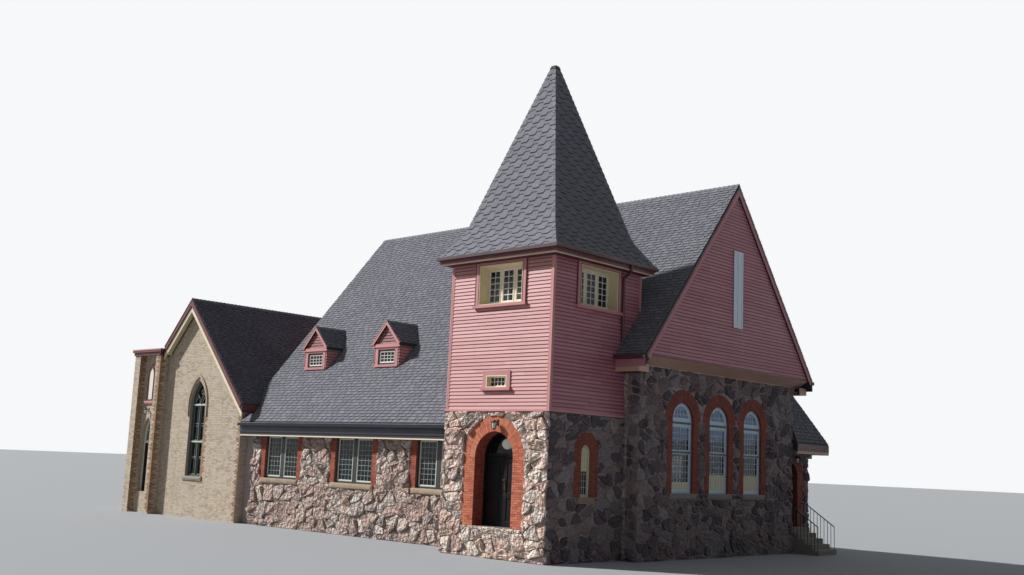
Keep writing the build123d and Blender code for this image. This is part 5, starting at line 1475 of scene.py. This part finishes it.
gothic = {"middle": -19.24, "half": 0.53, "low": 1.834, "spring": 4.87, "share": 1.75,
          "transoms": (3.256, 4.853), "glass": -0.21, "front": -0.112, "doubles": (2.55, 2.61, 3.93, 4.04)}


def makeChapelWindows():
    teal = Pile()
    pale = Pile()
    side = frontSide(church["chapelFront"])
    middle, half = gothic["middle"], gothic["half"]
    glass, front = gothic["glass"], gothic["front"]
    for z in gothic["transoms"]:
        pale.box(side, middle - half, z - 0.03, middle + half, z + 0.03, glass, front)
    # two tall casements under each transom, with thin double bars
    spans = ((gothic["low"], 3.226), (3.286, 4.823))
    for low, high in spans:
        for left, right in ((middle - half, middle - 0.03), (middle + 0.03, middle + half)):
            box = rect(left, low, right, high)
            layRim(teal, side, box, 0.05, (glass, glass + 0.05))
            inner = inset(box, 0.05)
            wide = (boxOf(inner)[0] + boxOf(inner)[2]) / 2
            pale.box(side, wide - 0.007, low, wide + 0.007, high, glass, glass + 0.012)
            for z in gothic["doubles"]:
                if low < z < high:
                    pale.box(side, left + 0.05, z - 0.008, right - 0.05, z + 0.008, glass, glass + 0.014)
    # tracery in the head: two lancets and a small cusped shape over them
    path = archPath(middle, half, gothic["spring"], gothic["spring"], gothic["share"])
    layRim(teal, side, path, 0.045, (glass, glass + 0.05))
    for shift in (-0.5 * half, 0.5 * half):
        small = archPath(middle + shift, half / 2 - 0.02, gothic["spring"], gothic["spring"], 1.5)
        layRim(pale, side, small, 0.022, (glass, glass + 0.02), closed=False)
    ring = [(middle + 0.11 * math.cos(a * math.pi / 5), gothic["spring"] + 0.545
             + 0.11 * math.sin(a * math.pi / 5)) for a in range(10)]
    layRim(pale, side, ring, 0.02, (glass, glass + 0.02))
    # the three windows of the west side
    side = westSide(church["chapelX"] - church["chapelHalf"])
    for y in (4.969, 9.086, 13.202):
        for z in (2.7, 3.463):
            pale.box(side, -y - 0.41, z - 0.028, -y + 0.41, z + 0.028, glass, front)
        for left, right in ((-y - 0.41, -y - 0.03), (-y + 0.03, -y + 0.41)):
            layRim(teal, side, rect(left, 1.834, right, 3.433), 0.045, (glass, glass + 0.05))
            layBars(pale, side, rect(left, 1.834, right, 3.433), 2, 5, 0.012, (glass, glass + 0.012))
    teal.piece("chapel_casements", "tealSash", "cream_paint", solid=True)
    pale.piece("chapel_glazing_bars", "sash", "cream_paint", solid=True)
    # fan light over the chapel's door: a pane behind tracery
    side = frontSide(church["porchFace"])
    middle = (church["porchLeft"] + church["porchRight"]) / 2
    low, spring, half = 3.215, 3.48, 0.39
    path = archPath(middle, half, low, spring, 1.8)
    pale = Pile()
    layRim(pale, side, path, 0.04, (-0.215, -0.165))
    for shift in (-0.5 * half, 0.5 * half):
        small = archPath(middle + shift, half / 2 - 0.01, low, spring, 1.5)
        layRim(pale, side, small, 0.02, (-0.205, -0.175), closed=False)
    ring = [(middle + 0.09 * math.cos(a * math.pi / 5), spring + 0.40
             + 0.09 * math.sin(a * math.pi / 5)) for a in range(10)]
    layRim(pale, side, ring, 0.018, (-0.205, -0.175))
    pale.piece("porch_fanlight_tracery", "sash", "cream_paint", solid=True)
    pane = Pile()
    pane.prism(side, inset(path, 0.02), -0.205, -0.199)
    pane.piece("porch_fanlight_glass", "greenPane", "window_glass", solid=True)


# Trims

def layBand(pile, half, low, high, inner, outer):
    # a mitred band round the tower, from one distance off its face to another
    middle = church["towerMiddle"]
    for quarter in range(4):
        angle = quarter * math.pi / 2
        c, s = math.cos(angle), math.sin(angle)
        side = Side((0, middle, 0), (c, s, 0), (0, 0, 1))
        near, far = half + inner, half + outer
        points = []
        for reach, z in ((near, low), (near, high), (far, high), (far, low)):
            for sign in (-1, 1):
                points.append(side.at(sign * reach, z, reach))
        faces = [(0, 2, 3, 1), (2, 4, 5, 3), (4, 6, 7, 5), (6, 0, 1, 7), (0, 6, 4, 2), (1, 3, 5, 7)]
        pile.add(points, faces)


def makeTowerTrim():
    half = church["towerHalf"]
    cream = Pile()
    layBand(cream, half, 9.258, 9.285, 0.262, 0.312)
    cream.piece("tower_soffit", "cream", "cream_paint", solid=True)
    red = Pile()
    layBand(red, half, 9.285, 9.318, 0.30, 0.342)
    layBand(red, half, 9.372, 9.412, 0.30, 0.348)
    layBand(red, half, 9.266, 9.285, 0.024, 0.262)
    layBand(red, half, 9.232, 9.266, 0.024, 0.055)
    red.piece("tower_cornice_mouldings", "trim", "red_boards", solid=True)
    pink = Pile()
    layBand(pink, half, 4.482, 4.512, 0.0, 0.052)
    layBand(pink, half, 4.512, 4.545, 0.0, 0.040)
    for side, edges in ((frontSide(church["towerFront"]), (-half, half)),
                        (eastSide(half), (church["towerFront"], church["towerRear"])),
                        (westSide(-half), (-church["towerRear"], -church["towerFront"]))):
        for edge, way in zip(edges, (1, -1)):
            low, high = sorted((edge - way * 0.025, edge + way * 0.022))
            pink.box(side, low, 4.545, high, 9.235, 0.0, 0.029)
    pink.piece("tower_corner_trim", "casing", "red_boards", solid=True)
    dark = Pile()
    layBand(dark, half, 4.462, 4.482, 0.0, 0.062)
    dark.piece("tower_flashing", "gutter", "gutter_metal", solid=True)
    edge = Pile()
    layBand(edge, half, 9.511, 9.519, 0.36, 0.4245)
    edge.piece("spire_drip_edge", "greyGutter", "gutter_metal", solid=True)
    cap = Pile()
    root = math.sqrt(2)
    cap.turned((0.0, church["towerMiddle"], 16.388),
               [(0.130 * root, -0.13), (0.135 * root, -0.12), (0.096 * root, -0.01),
                (0.08 * root, 0.0)], 4, start=math.pi / 4)
    cap.piece("spire_cap", "roofEdge", "gutter_metal", solid=True)


def layRake(pile, side, path, bands):
    # boards that follow a gable's slopes: offsets below the roof line, with their lifts
    for low, high, back, front in bands:
        pile.moulding(side, path, [(-high, back), (-high, front), (-low, front), (-low, back)])


def makeHallTrim():
    red = Pile()
    cream = Pile()
    cove = Pile()
    maroon = Pile()
    boards = Pile()
    navy = Pile()
    eaveY = church["gableEaveY"]
    rearY = 2 * church["ridgeY"] - eaveY
    ridge = (church["ridgeY"], church["ridgeZ"])
    side = eastSide(church["vergeEast"])
    path = [(eaveY, hallZ(eaveY)), ridge, (rearY, hallZ(rearY))]
    layRake(maroon, side, path, [(0.045, 0.12, 0.0, 0.026)])
    layRake(boards, side, path, [(0.10, 0.262, 0.0, 0.018)])
    side = westSide(church["vergeWest"])
    path = [(-14.40, hallZ(14.40)), (-ridge[0], ridge[1]), (-2.24, hallZ(2.24))]
    layRake(maroon, side, path, [(0.045, 0.12, 0.0, 0.026)])
    layRake(boards, side, path, [(0.10, 0.262, 0.0, 0.018)])
    # foot of the boarded gable: a fascia, then a sloping cove of boards with a cream strip
    side = eastSide(church["gableBoard"])
    for cell in side.cells("gable_siding"):
        red.prism(side, overlap(rect(-99, 6.45, 99, 6.548), cell), 0.0, 0.027)
    slope = Side((church["gableFace"], 0, 6.214), (0, 1, 0), (0.53, 0, 0.236))
    for cell in slope.cells("gable_siding"):
        box = boxOf(cell)
        v = box[1]
        while v < box[3]:
            cove.prism(slope, overlap(rect(box[0], v + 0.002, box[2], v + 0.095), cell), 0.0, 0.008)
            v += 0.097
        cream.prism(slope, overlap(rect(box[0], 0.0, box[2], 0.045), cell), 0.006, 0.016)
    # the pale panel high on the gable
    pale = Pile()
    side = eastSide(3.355)
    pale.box(side, 8.08, 7.916, 8.68, 10.662, 0.0, 0.005)
    for low, high in ((8.08, 8.15), (8.345, 8.415), (8.61, 8.68)):
        pale.box(side, low, 7.916, high, 10.662, 0.0, 0.018)
    for low, high in ((7.916, 7.996), (9.25, 9.33), (10.582, 10.662)):
        pale.box(side, 8.08, low, 8.68, high, 0.0, 0.016)
    pale.piece("gable_panel", "panel", "cream_paint", solid=True)
    # the hipped end over the side door
    side = eastSide(3.05)
    for cell in side.cells("hall_roof_rear"):
        maroon.prism(side, overlap(rect(-99, 3.83, 99, 4.10), cell), 0.0, 0.022)
        cove.prism(side, overlap(rect(-99, 3.72, 99, 3.83), cell), 0.0, 0.014)
    # a cream strip along the foot of each eaves box, and the rolled lip of each gutter
    lip = Pile()
    for away, z, low, high, rearHigh in ((church["eaveY"], 3.569, church["hallWest"] + 0.01, -2.21, 2.34),
                                         (eaveY, 5.941, 2.21, 3.128, 3.128)):
        back = 2 * church["ridgeY"] - away
        roof = hallZ(away)
        if away < 1:
            cream.box(frontSide(away + 0.02), low, z, high, z + 0.045, 0.0, 0.014)
            cream.box(rearSide(back - 0.02), -rearHigh, z, 15.79, z + 0.045, 0.0, 0.014)
            navy.box(frontSide(away), low, roof - 0.408, -2.21, roof - 0.165, 0.0, 0.012)
            navy.box(rearSide(back), -3.04, roof - 0.408, 15.79, roof - 0.165, 0.0, 0.012)
        else:
            # the short eaves at the gable's feet, boxed in with the gable's own trim
            cove.box(frontSide(away + 0.02), low, z, high, z + 0.165, 0.0, 0.014)
            cove.box(rearSide(back - 0.02), -rearHigh, z, -low, z + 0.165, 0.0, 0.014)
            boards.box(frontSide(away), low, roof - 0.408, 3.386, roof - 0.162, 0.0, 0.012)
            boards.box(rearSide(back), -3.386, roof - 0.408, -low, roof - 0.162, 0.0, 0.012)
            for first, last in ((away + 0.006, church["gableFront"]), (church["gableRear"], back - 0.006)):
                cove.box(eastSide(high), first, z, last, z + 0.26, 0.0, 0.014)
            for first, last in ((away - 0.156, away - 0.01), (back + 0.01, back + 0.156)):
                maroon.box(eastSide(3.38), first, roof - 0.162, last, roof - 0.045, 0.0, 0.008)
            maroon.box(frontSide(away - 0.15), low, roof - 0.162, 3.388, roof - 0.045, 0.0, 0.006)
            maroon.box(rearSide(back + 0.15), -3.388, roof - 0.162, -low, roof - 0.045, 0.0, 0.006)
        top = hallZ(away) - 0.04
        end = -2.21 if away < 1 else 3.375
        lip.tube([(low, away - 0.140, top), (end, away - 0.140, top)], 0.009, 6)
        lip.tube([(low, back + 0.140, top), (2.9 if away < 1 else end, back + 0.140, top)], 0.009, 6)
    lip.piece("gutter_lips", "greyGutter", "gutter_metal", solid=True)
    red.piece("hall_bargeboards", "trim", "red_boards", solid=True)
    cream.piece("hall_soffit_boards", "cream", "cream_paint", solid=True)
    cove.piece("gable_cove_boards", "cove", "red_boards", solid=True)
    maroon.piece("maroon_fascias", "maroon", "red_boards", solid=True)
    boards.piece("gable_rake_boards", "shadedBoards", "red_boards", solid=True)
    navy.piece("aisle_fascias", "navy", "red_boards", solid=True)


def makeDormerTrim():
    pink = Pile()
    side = frontSide(dormer["verge"])
    half, z = dormer["eaveHalf"], dormer["eaveZ"]
    for middle in dormer["middles"]:
        path = [(middle - half, z), (middle, dormer["ridgeZ"]), (middle + half, z)]
        layRake(pink, side, path, [(0.012, 0.115, 0.0, 0.02), (0.004, 0.03, 0.0, 0.03)])
        face = frontSide(2.743)
        pink.box(face, middle - 0.80, 7.15, middle + 0.80, 7.275, 0.0, 0.012)
    pink.piece("dormer_bargeboards", "casing", "red_boards", solid=True)


def makeChapelTrim():
    front = church["chapelFront"] - church["chapelVerge"]
    rear = church["aisleRear"] + church["chapelVerge"]
    x, z = church["chapelX"], church["chapelZ"]
    edge = church["chapelHalf"] + church["chapelOver"]
    red = Pile()
    lines = Pile()
    path = [(-21.88, chapelZ(-21.88)), (x, z), (x + edge, chapelZ(x + edge))]
    layRake(red, frontSide(front), path, [(0.035, 0.225, 0.0, 0.020), (0.02, 0.06, 0.0, 0.034)])
    path = [(-x - edge, chapelZ(x + edge)), (-x, z), (-x + edge, chapelZ(x - edge))]
    layRake(red, rearSide(rear), path, [(0.035, 0.225, 0.0, 0.020), (0.02, 0.06, 0.0, 0.034)])
    side = eastSide(x + edge)
    low = chapelZ(x + edge)
    red.box(side, front, low - 0.30, front + 0.95, low - 0.03, 0.0, 0.02)
    red.piece("chapel_bargeboards", "trim", "red_boards", solid=True)
    # two mouldings on the brick under the soffit, painted dark brown partly as painted shadow lines
    path = [(-21.98, chapelZ(-21.98)), (x, z), (-15.82, chapelZ(-15.82))]
    layRake(lines, frontSide(church["chapelFront"]), path,
            [(0.300, 0.322, 0.0, 0.03), (0.365, 0.385, 0.0, 0.022)])
    lines.piece("chapel_rake_mouldings", "brownPaint", "red_boards", solid=True)
    # blind lancet: red moulding, pale field, pink ledge
    side = frontSide(0.867)
    middle = (church["porchLeft"] + church["porchRight"]) / 2
    white = Pile()
    red = Pile()
    pink = Pile()
    field = archPath(middle, 0.195, 5.115, 6.23, 1.7)
    white.prism(side, field, -0.018, -0.013)
    layRim(red, side, archPath(middle, 0.287, 5.025, 6.23, 1.7), 0.092, (-0.002, 0.012))
    for edge, lift in ((0.03, 0.02), (0.075, 0.018)):
        path = archPath(middle, 0.287 - edge, 5.055, 6.23, 1.7)
        layRim(red, side, path, 0.015, (0.0, lift))
    pink.box(side, middle - 0.385, 4.94, middle + 0.385, 5.03, 0.0, 0.07)
    pink.box(side, middle - 0.36, 4.90, middle + 0.36, 4.94, 0.0, 0.05)
    white.piece("porch_lancet_field", "white", "cream_paint", solid=True)
    # cornice of the entrance tower: a cap and a bed moulding
    west, east = church["porchLeft"], church["porchRight"] + 0.11
    front = church["porchFront"] - 0.11
    cap = church["porchTop"] + 0.23
    pink.block((west - 0.108, front - 0.012, cap - 0.05), (east + 0.012, front, cap))
    pink.block((east, front, cap - 0.05), (east + 0.012, church["porchRear"] + 0.1, cap))
    red.block((west - 0.108, front - 0.006, cap - 0.15), (east + 0.006, front, cap - 0.10))
    red.block((west - 0.04, church["porchFront"] - 0.05, 7.10), (east - 0.05,
              church["porchFront"], 7.16))
    red.block((church["porchRight"], church["porchFront"] - 0.05, 7.10),
              (east - 0.05, church["porchRear"], 7.16))
    red.piece("porch_red_mouldings", "trim", "red_boards", solid=True)
    pink.piece("porch_pale_mouldings", "casing", "red_boards", solid=True)


sills = {"step": 0.09, "round": 0.05, "rough": 0.006, "seed": 81}


def layCushion(pile, side, lowU, highU, lowV, highV, proud, rng):
    # a dressed stone with rounded edges and a hammered face
    count = max(4, int((highU - lowU) / sills["step"]))
    r = sills["round"] * 0.8
    shape = [(lowV, 0.0), (lowV, proud - r), (lowV + r * 0.3, proud - r * 0.3), (lowV + r, proud),
             ((lowV + highV) / 2, proud + 0.004), (highV - r, proud - 0.003),
             (highV - r * 0.3, proud - r * 0.35), (highV, proud - r), (highV, 0.0)]
    rings = []
    for i in range(count + 1):
        u = lowU + (highU - lowU) * i / count
        draw = 0.75 if i in (0, count) else 1.0
        ring = []
        for v, lift in shape:
            rough = rng.uniform(-1, 1) * sills["rough"] if lift > 0.01 else 0.0
            ring.append(side.at(u, (v - (lowV + highV) / 2) * (0.93 if draw < 1 else 1.0)
                                + (lowV + highV) / 2, lift * draw + rough))
        rings.append(ring)
    pile.loft(rings, rng.random())


def makeSills():
    rng = random.Random(sills["seed"])
    pile = Pile()
    for side, sign in ((frontSide(church["aisleFront"]), 1), (rearSide(church["aisleRear"]), -1)):
        for middle in aisle["middles"]:
            layCushion(pile, side, sign * middle - 1.24, sign * middle + 1.24, 1.705, 1.908, 0.085,
                       rng)
    pile.piece("aisle_sills", "sillStone", "dressed_stone", smooth=True)
    pile = Pile()
    side = eastSide(church["gableFace"])
    for y in gable["middles"]:
        layCushion(pile, side, y - 0.775, y + 0.775, 1.951, 2.153, 0.085, rng)
    layCushion(pile, frontSide(church["chapelFront"]), -19.24 - 0.775, -19.24 + 0.775, 1.60, 1.770,
               0.070, rng)
    pile.piece("grey_sills", "greySill", "dressed_stone", smooth=True)


# Doors and lamps

def layPanels(pile, side, left, right, low, high, out):
    # a moulding round each sunk panel, and a raised field in it
    for bottom, top in ((0.07, 0.42), (0.48, 0.93)):
        box = rect(left + 0.12, low + bottom * (high - low), right - 0.12, low + top * (high - low))
        layRim(pile, side, box, 0.028, (out - 0.014, out + 0.006))
        field = inset(box, 0.062)
        pile.prism(side, field, out - 0.014, out - 0.004)


def layKnob(pile, side, u, v, out):
    # a knob on a round rose
    centre = side.at(u, v, out)
    rings = []
    for radius, lift in ((0.034, 0.0), (0.034, 0.006), (0.012, 0.010), (0.010, 0.034), (0.026, 0.042),
                         (0.031, 0.058), (0.024, 0.072), (0.006, 0.078)):
        rings.append([side.at(u + radius * math.cos(k * math.pi / 5),
                              v + radius * math.sin(k * math.pi / 5), out + lift) for k in range(10)])
    pile.loft(rings)


def makeDoors():
    front = frontSide(church["towerFront"])
    out = -0.43 - 0.11 + 0.056
    for body, left, right in (("left_door", -0.734, -0.007), ("right_door", 0.007, 0.734)):
        pile = Pile()
        layPanels(pile, front, left, right, 0.948, 3.092, out)
        pile.piece(body + "_panels", "door", "dark_door", body, solid=True)
    pile = Pile()
    pile.box(front, 0.045, 1.90, 0.085, 2.42, out, out + 0.008)
    pile.tube([front.at(0.065, 2.02, out + 0.008), front.at(0.065, 2.06, out + 0.05),
               front.at(0.065, 2.16, out + 0.062), front.at(0.065, 2.26, out + 0.05),
               front.at(0.065, 2.30, out + 0.008)], 0.011)
    layKnob(pile, front, 0.065, 2.365, out + 0.006)
    pile.piece("main_door_handle", "brass", "dark_door", "right_door", solid=True)
    side = eastSide(church["sideFace"])
    out = -0.45 + 0.056
    pile = Pile()
    layPanels(pile, side, 13.96 - 0.492, 13.96 + 0.492, 0.948, 2.88, out)
    pile.piece("side_door_panels", "door", "dark_door", "side_door", solid=True)
    pile = Pile()
    pile.box(side, 13.525, 1.93, 13.565, 2.13, out, out + 0.006)
    layKnob(pile, side, 13.545, 2.03, out + 0.004)
    pile.piece("side_door_knob", "brass", "dark_door", "side_door", solid=True)
    side = frontSide(church["porchFace"])
    middle = (church["porchLeft"] + church["porchRight"]) / 2
    out = -0.24 + 0.056
    pile = Pile()
    layPanels(pile, side, middle - 0.382, middle + 0.382, 0.948, 3.107, out)
    pile.piece("chapel_door_panels", "door", "dark_door", "chapel_door", solid=True)
    pile = Pile()
    pile.box(side, middle + 0.305, 1.93, middle + 0.345, 2.13, out, out + 0.006)
    layKnob(pile, side, middle + 0.325, 2.03, out + 0.004)
    pile.piece("chapel_door_knob", "brass", "dark_door", "chapel_door", solid=True)


lamp = {"reach": 0.18, "sides": 6, "foot": 0.060, "shoulder": 0.095, "height": 0.20, "cap": 0.115}


def makeLanterns():
    iron = Pile()
    glass = Pile()
    spots = [(frontSide(church["towerFront"]), 0.12, 4.13),
             (frontSide(church["porchFace"]), -23.144, 4.62), (eastSide(church["sideFace"]), 14.128, 3.564)]
    for side, u, z in spots:
        x, y, _ = side.at(u, z, lamp["reach"])
        centre = (x, y, z)
        glass.turned(centre, [(lamp["foot"] * 0.88, -lamp["height"] + 0.012),
                              (lamp["shoulder"] * 0.90, -0.006)], lamp["sides"])
        for k in range(lamp["sides"]):
            angle = 2 * math.pi * k / lamp["sides"]
            c, s = math.cos(angle), math.sin(angle)
            iron.tube([(x + lamp["foot"] * 0.93 * c, y + lamp["foot"] * 0.93 * s, z - lamp["height"]),
                       (x + lamp["shoulder"] * 0.96 * c, y + lamp["shoulder"] * 0.96 * s, z)],
                      0.006, 6)
        iron.turned(centre, [(0.018, -0.235), (0.03, -0.222), (0.022, -0.212),
                             (lamp["foot"], -0.206), (lamp["foot"], -0.190)], lamp["sides"])
        iron.turned(centre, [(0.098, -0.006), (0.112, 0.004), (0.112, 0.012), (0.07, 0.034),
                             (0.05, 0.062), (0.018, 0.074), (0.012, 0.078)], lamp["sides"])
        # a back plate and a scrolled arm
        iron.box(side, u - 0.045, z - 0.09, u + 0.045, z + 0.09, 0.0, 0.014)
        iron.tube([side.at(u, z - 0.05, 0.014), side.at(u, z - 0.075, 0.05),
                   side.at(u, z - 0.04, 0.085), side.at(u, z + 0.03, 0.09),
                   side.at(u, z + 0.065, 0.13), side.at(u, z + 0.06, 0.18)], 0.009)
    iron.piece("lantern_ironwork", "iron", "black_iron", stands=("wall_lanterns",), solid=True)
    glass.piece("lantern_glass", "opal", "black_iron", solid=True)
    # the glass globe that hangs inside the main doorway
    centre = (-0.12, 0.50, 3.49)
    globe = Pile()
    rings = []
    for i in range(13):
        angle = -math.pi / 2 + math.pi * (i + 0.35) / 12.7
        rings.append((0.165 * math.cos(angle), 0.165 * math.sin(angle)))
    globe.turned(centre, rings, 24)
    globe.piece("porch_globe", "litOpal", "window_glass", smooth=True)
    rod = Pile()
    rod.turned(centre, [(0.052, 0.155), (0.058, 0.165), (0.05, 0.19), (0.02, 0.21), (0.009, 0.22),
                        (0.009, 3.12), (0.05, 3.14), (0.06, 3.19)], 12)
    rod.piece("porch_globe_rod", "iron", "black_iron", smooth=True)


makeClapboards()
makeRoofs()
makeSpire()
makeRidges()
makeRedBrick()
makeBuffBrick()
makeStonework()
print("walls and roofs clad:", sum(totals), "triangles")
makeBelfryWindows()
makeHallWindows()
makeGableWindows()
makeChapelWindows()
makeTowerTrim()
makeHallTrim()
makeDormerTrim()
makeChapelTrim()
makeSills()
makeDoors()
makeLanterns()
print("joinery and trims done:", sum(totals), "triangles")


# Floor, light and camera

def makeStage():
    mesh = bpy.data.meshes.new("studio_floor")
    size = 400.0
    mesh.from_pydata([(-size, -size, 0), (size, -size, 0), (size, size, 0), (-size, size, 0)], [],
                     [(0, 1, 2, 3)])
    pale = bpy.data.materials.new("paleFloor")
    pale.use_nodes = True
    pale.node_tree.nodes["Principled BSDF"].inputs["Base Color"].default_value = (
        0.31, 0.32, 0.33, 1.0)
    pale.node_tree.nodes["Principled BSDF"].inputs["Roughness"].default_value = 0.9
    mesh.materials.append(pale)
    floor = bpy.data.objects.new("studio_floor", mesh)
    bpy.context.scene.collection.objects.link(floor)


lights = {"keyWay": (-0.68, -0.42, 0.60), "key": 5.3, "keyAngle": 2.5, "sky": 0.13}


def makeLights():
    sun = bpy.data.lights.new("key", "SUN")
    sun.energy = lights["key"]
    sun.angle = math.radians(lights["keyAngle"])
    thing = bpy.data.objects.new("key", sun)
    thing.rotation_mode = "QUATERNION"
    thing.rotation_quaternion = Vector(lights["keyWay"]).to_track_quat("Z", "Y")
    bpy.context.scene.collection.objects.link(thing)
    world = bpy.data.worlds.new("studio")
    bpy.context.scene.world = world
    world.use_nodes = True
    tree = world.node_tree
    shade = tree.nodes["Background"]
    shade.inputs["Color"].default_value = (0.70, 0.82, 1.0, 1.0)
    shade.inputs["Strength"].default_value = lights["sky"]
    seen = tree.nodes.new("ShaderNodeBackground")
    seen.inputs["Color"].default_value = (0.93, 0.94, 0.95, 1.0)
    seen.inputs["Strength"].default_value = 1.0
    path = tree.nodes.new("ShaderNodeLightPath")
    both = mathNode(tree, "MAXIMUM", path.outputs["Is Camera Ray"], path.outputs["Is Glossy Ray"])
    mix = tree.nodes.new("ShaderNodeMixShader")
    tree.links.new(both, mix.inputs["Fac"])
    tree.links.new(shade.outputs[0], mix.inputs[1])
    tree.links.new(seen.outputs[0], mix.inputs[2])
    tree.links.new(mix.outputs[0], tree.nodes["World Output"].inputs["Surface"])


view = {"place": (24.194, -25.430, 2.903), "yaw": 0.7551, "pitch": 0.1562, "roll": 0.0427,
        "lens": 39.19}


def makeCamera():
    camera = bpy.data.cameras.new("photoView")
    camera.lens = view["lens"]
    camera.sensor_width = 36.0
    camera.clip_end = 1000.0
    thing = bpy.data.objects.new("photoView", camera)
    bpy.context.scene.collection.objects.link(thing)
    yaw, pitch, roll = view["yaw"], view["pitch"], view["roll"]
    ahead = Vector((-math.sin(yaw) * math.cos(pitch), math.cos(yaw) * math.cos(pitch),
                    math.sin(pitch)))
    right = Vector((math.cos(yaw), math.sin(yaw), 0.0))
    up = right.cross(ahead)
    turnedRight = right * math.cos(roll) + up * math.sin(roll)
    turnedUp = up * math.cos(roll) - right * math.sin(roll)
    matrix = thing.matrix_world.copy()
    for i in range(3):
        matrix[i][0], matrix[i][1], matrix[i][2] = turnedRight[i], turnedUp[i], -ahead[i]
        matrix[i][3] = view["place"][i]
    thing.matrix_world = matrix
    bpy.context.scene.camera = thing


makeStage()
makeLights()
makeCamera()
bpy.context.scene.view_settings.view_transform = "Standard"
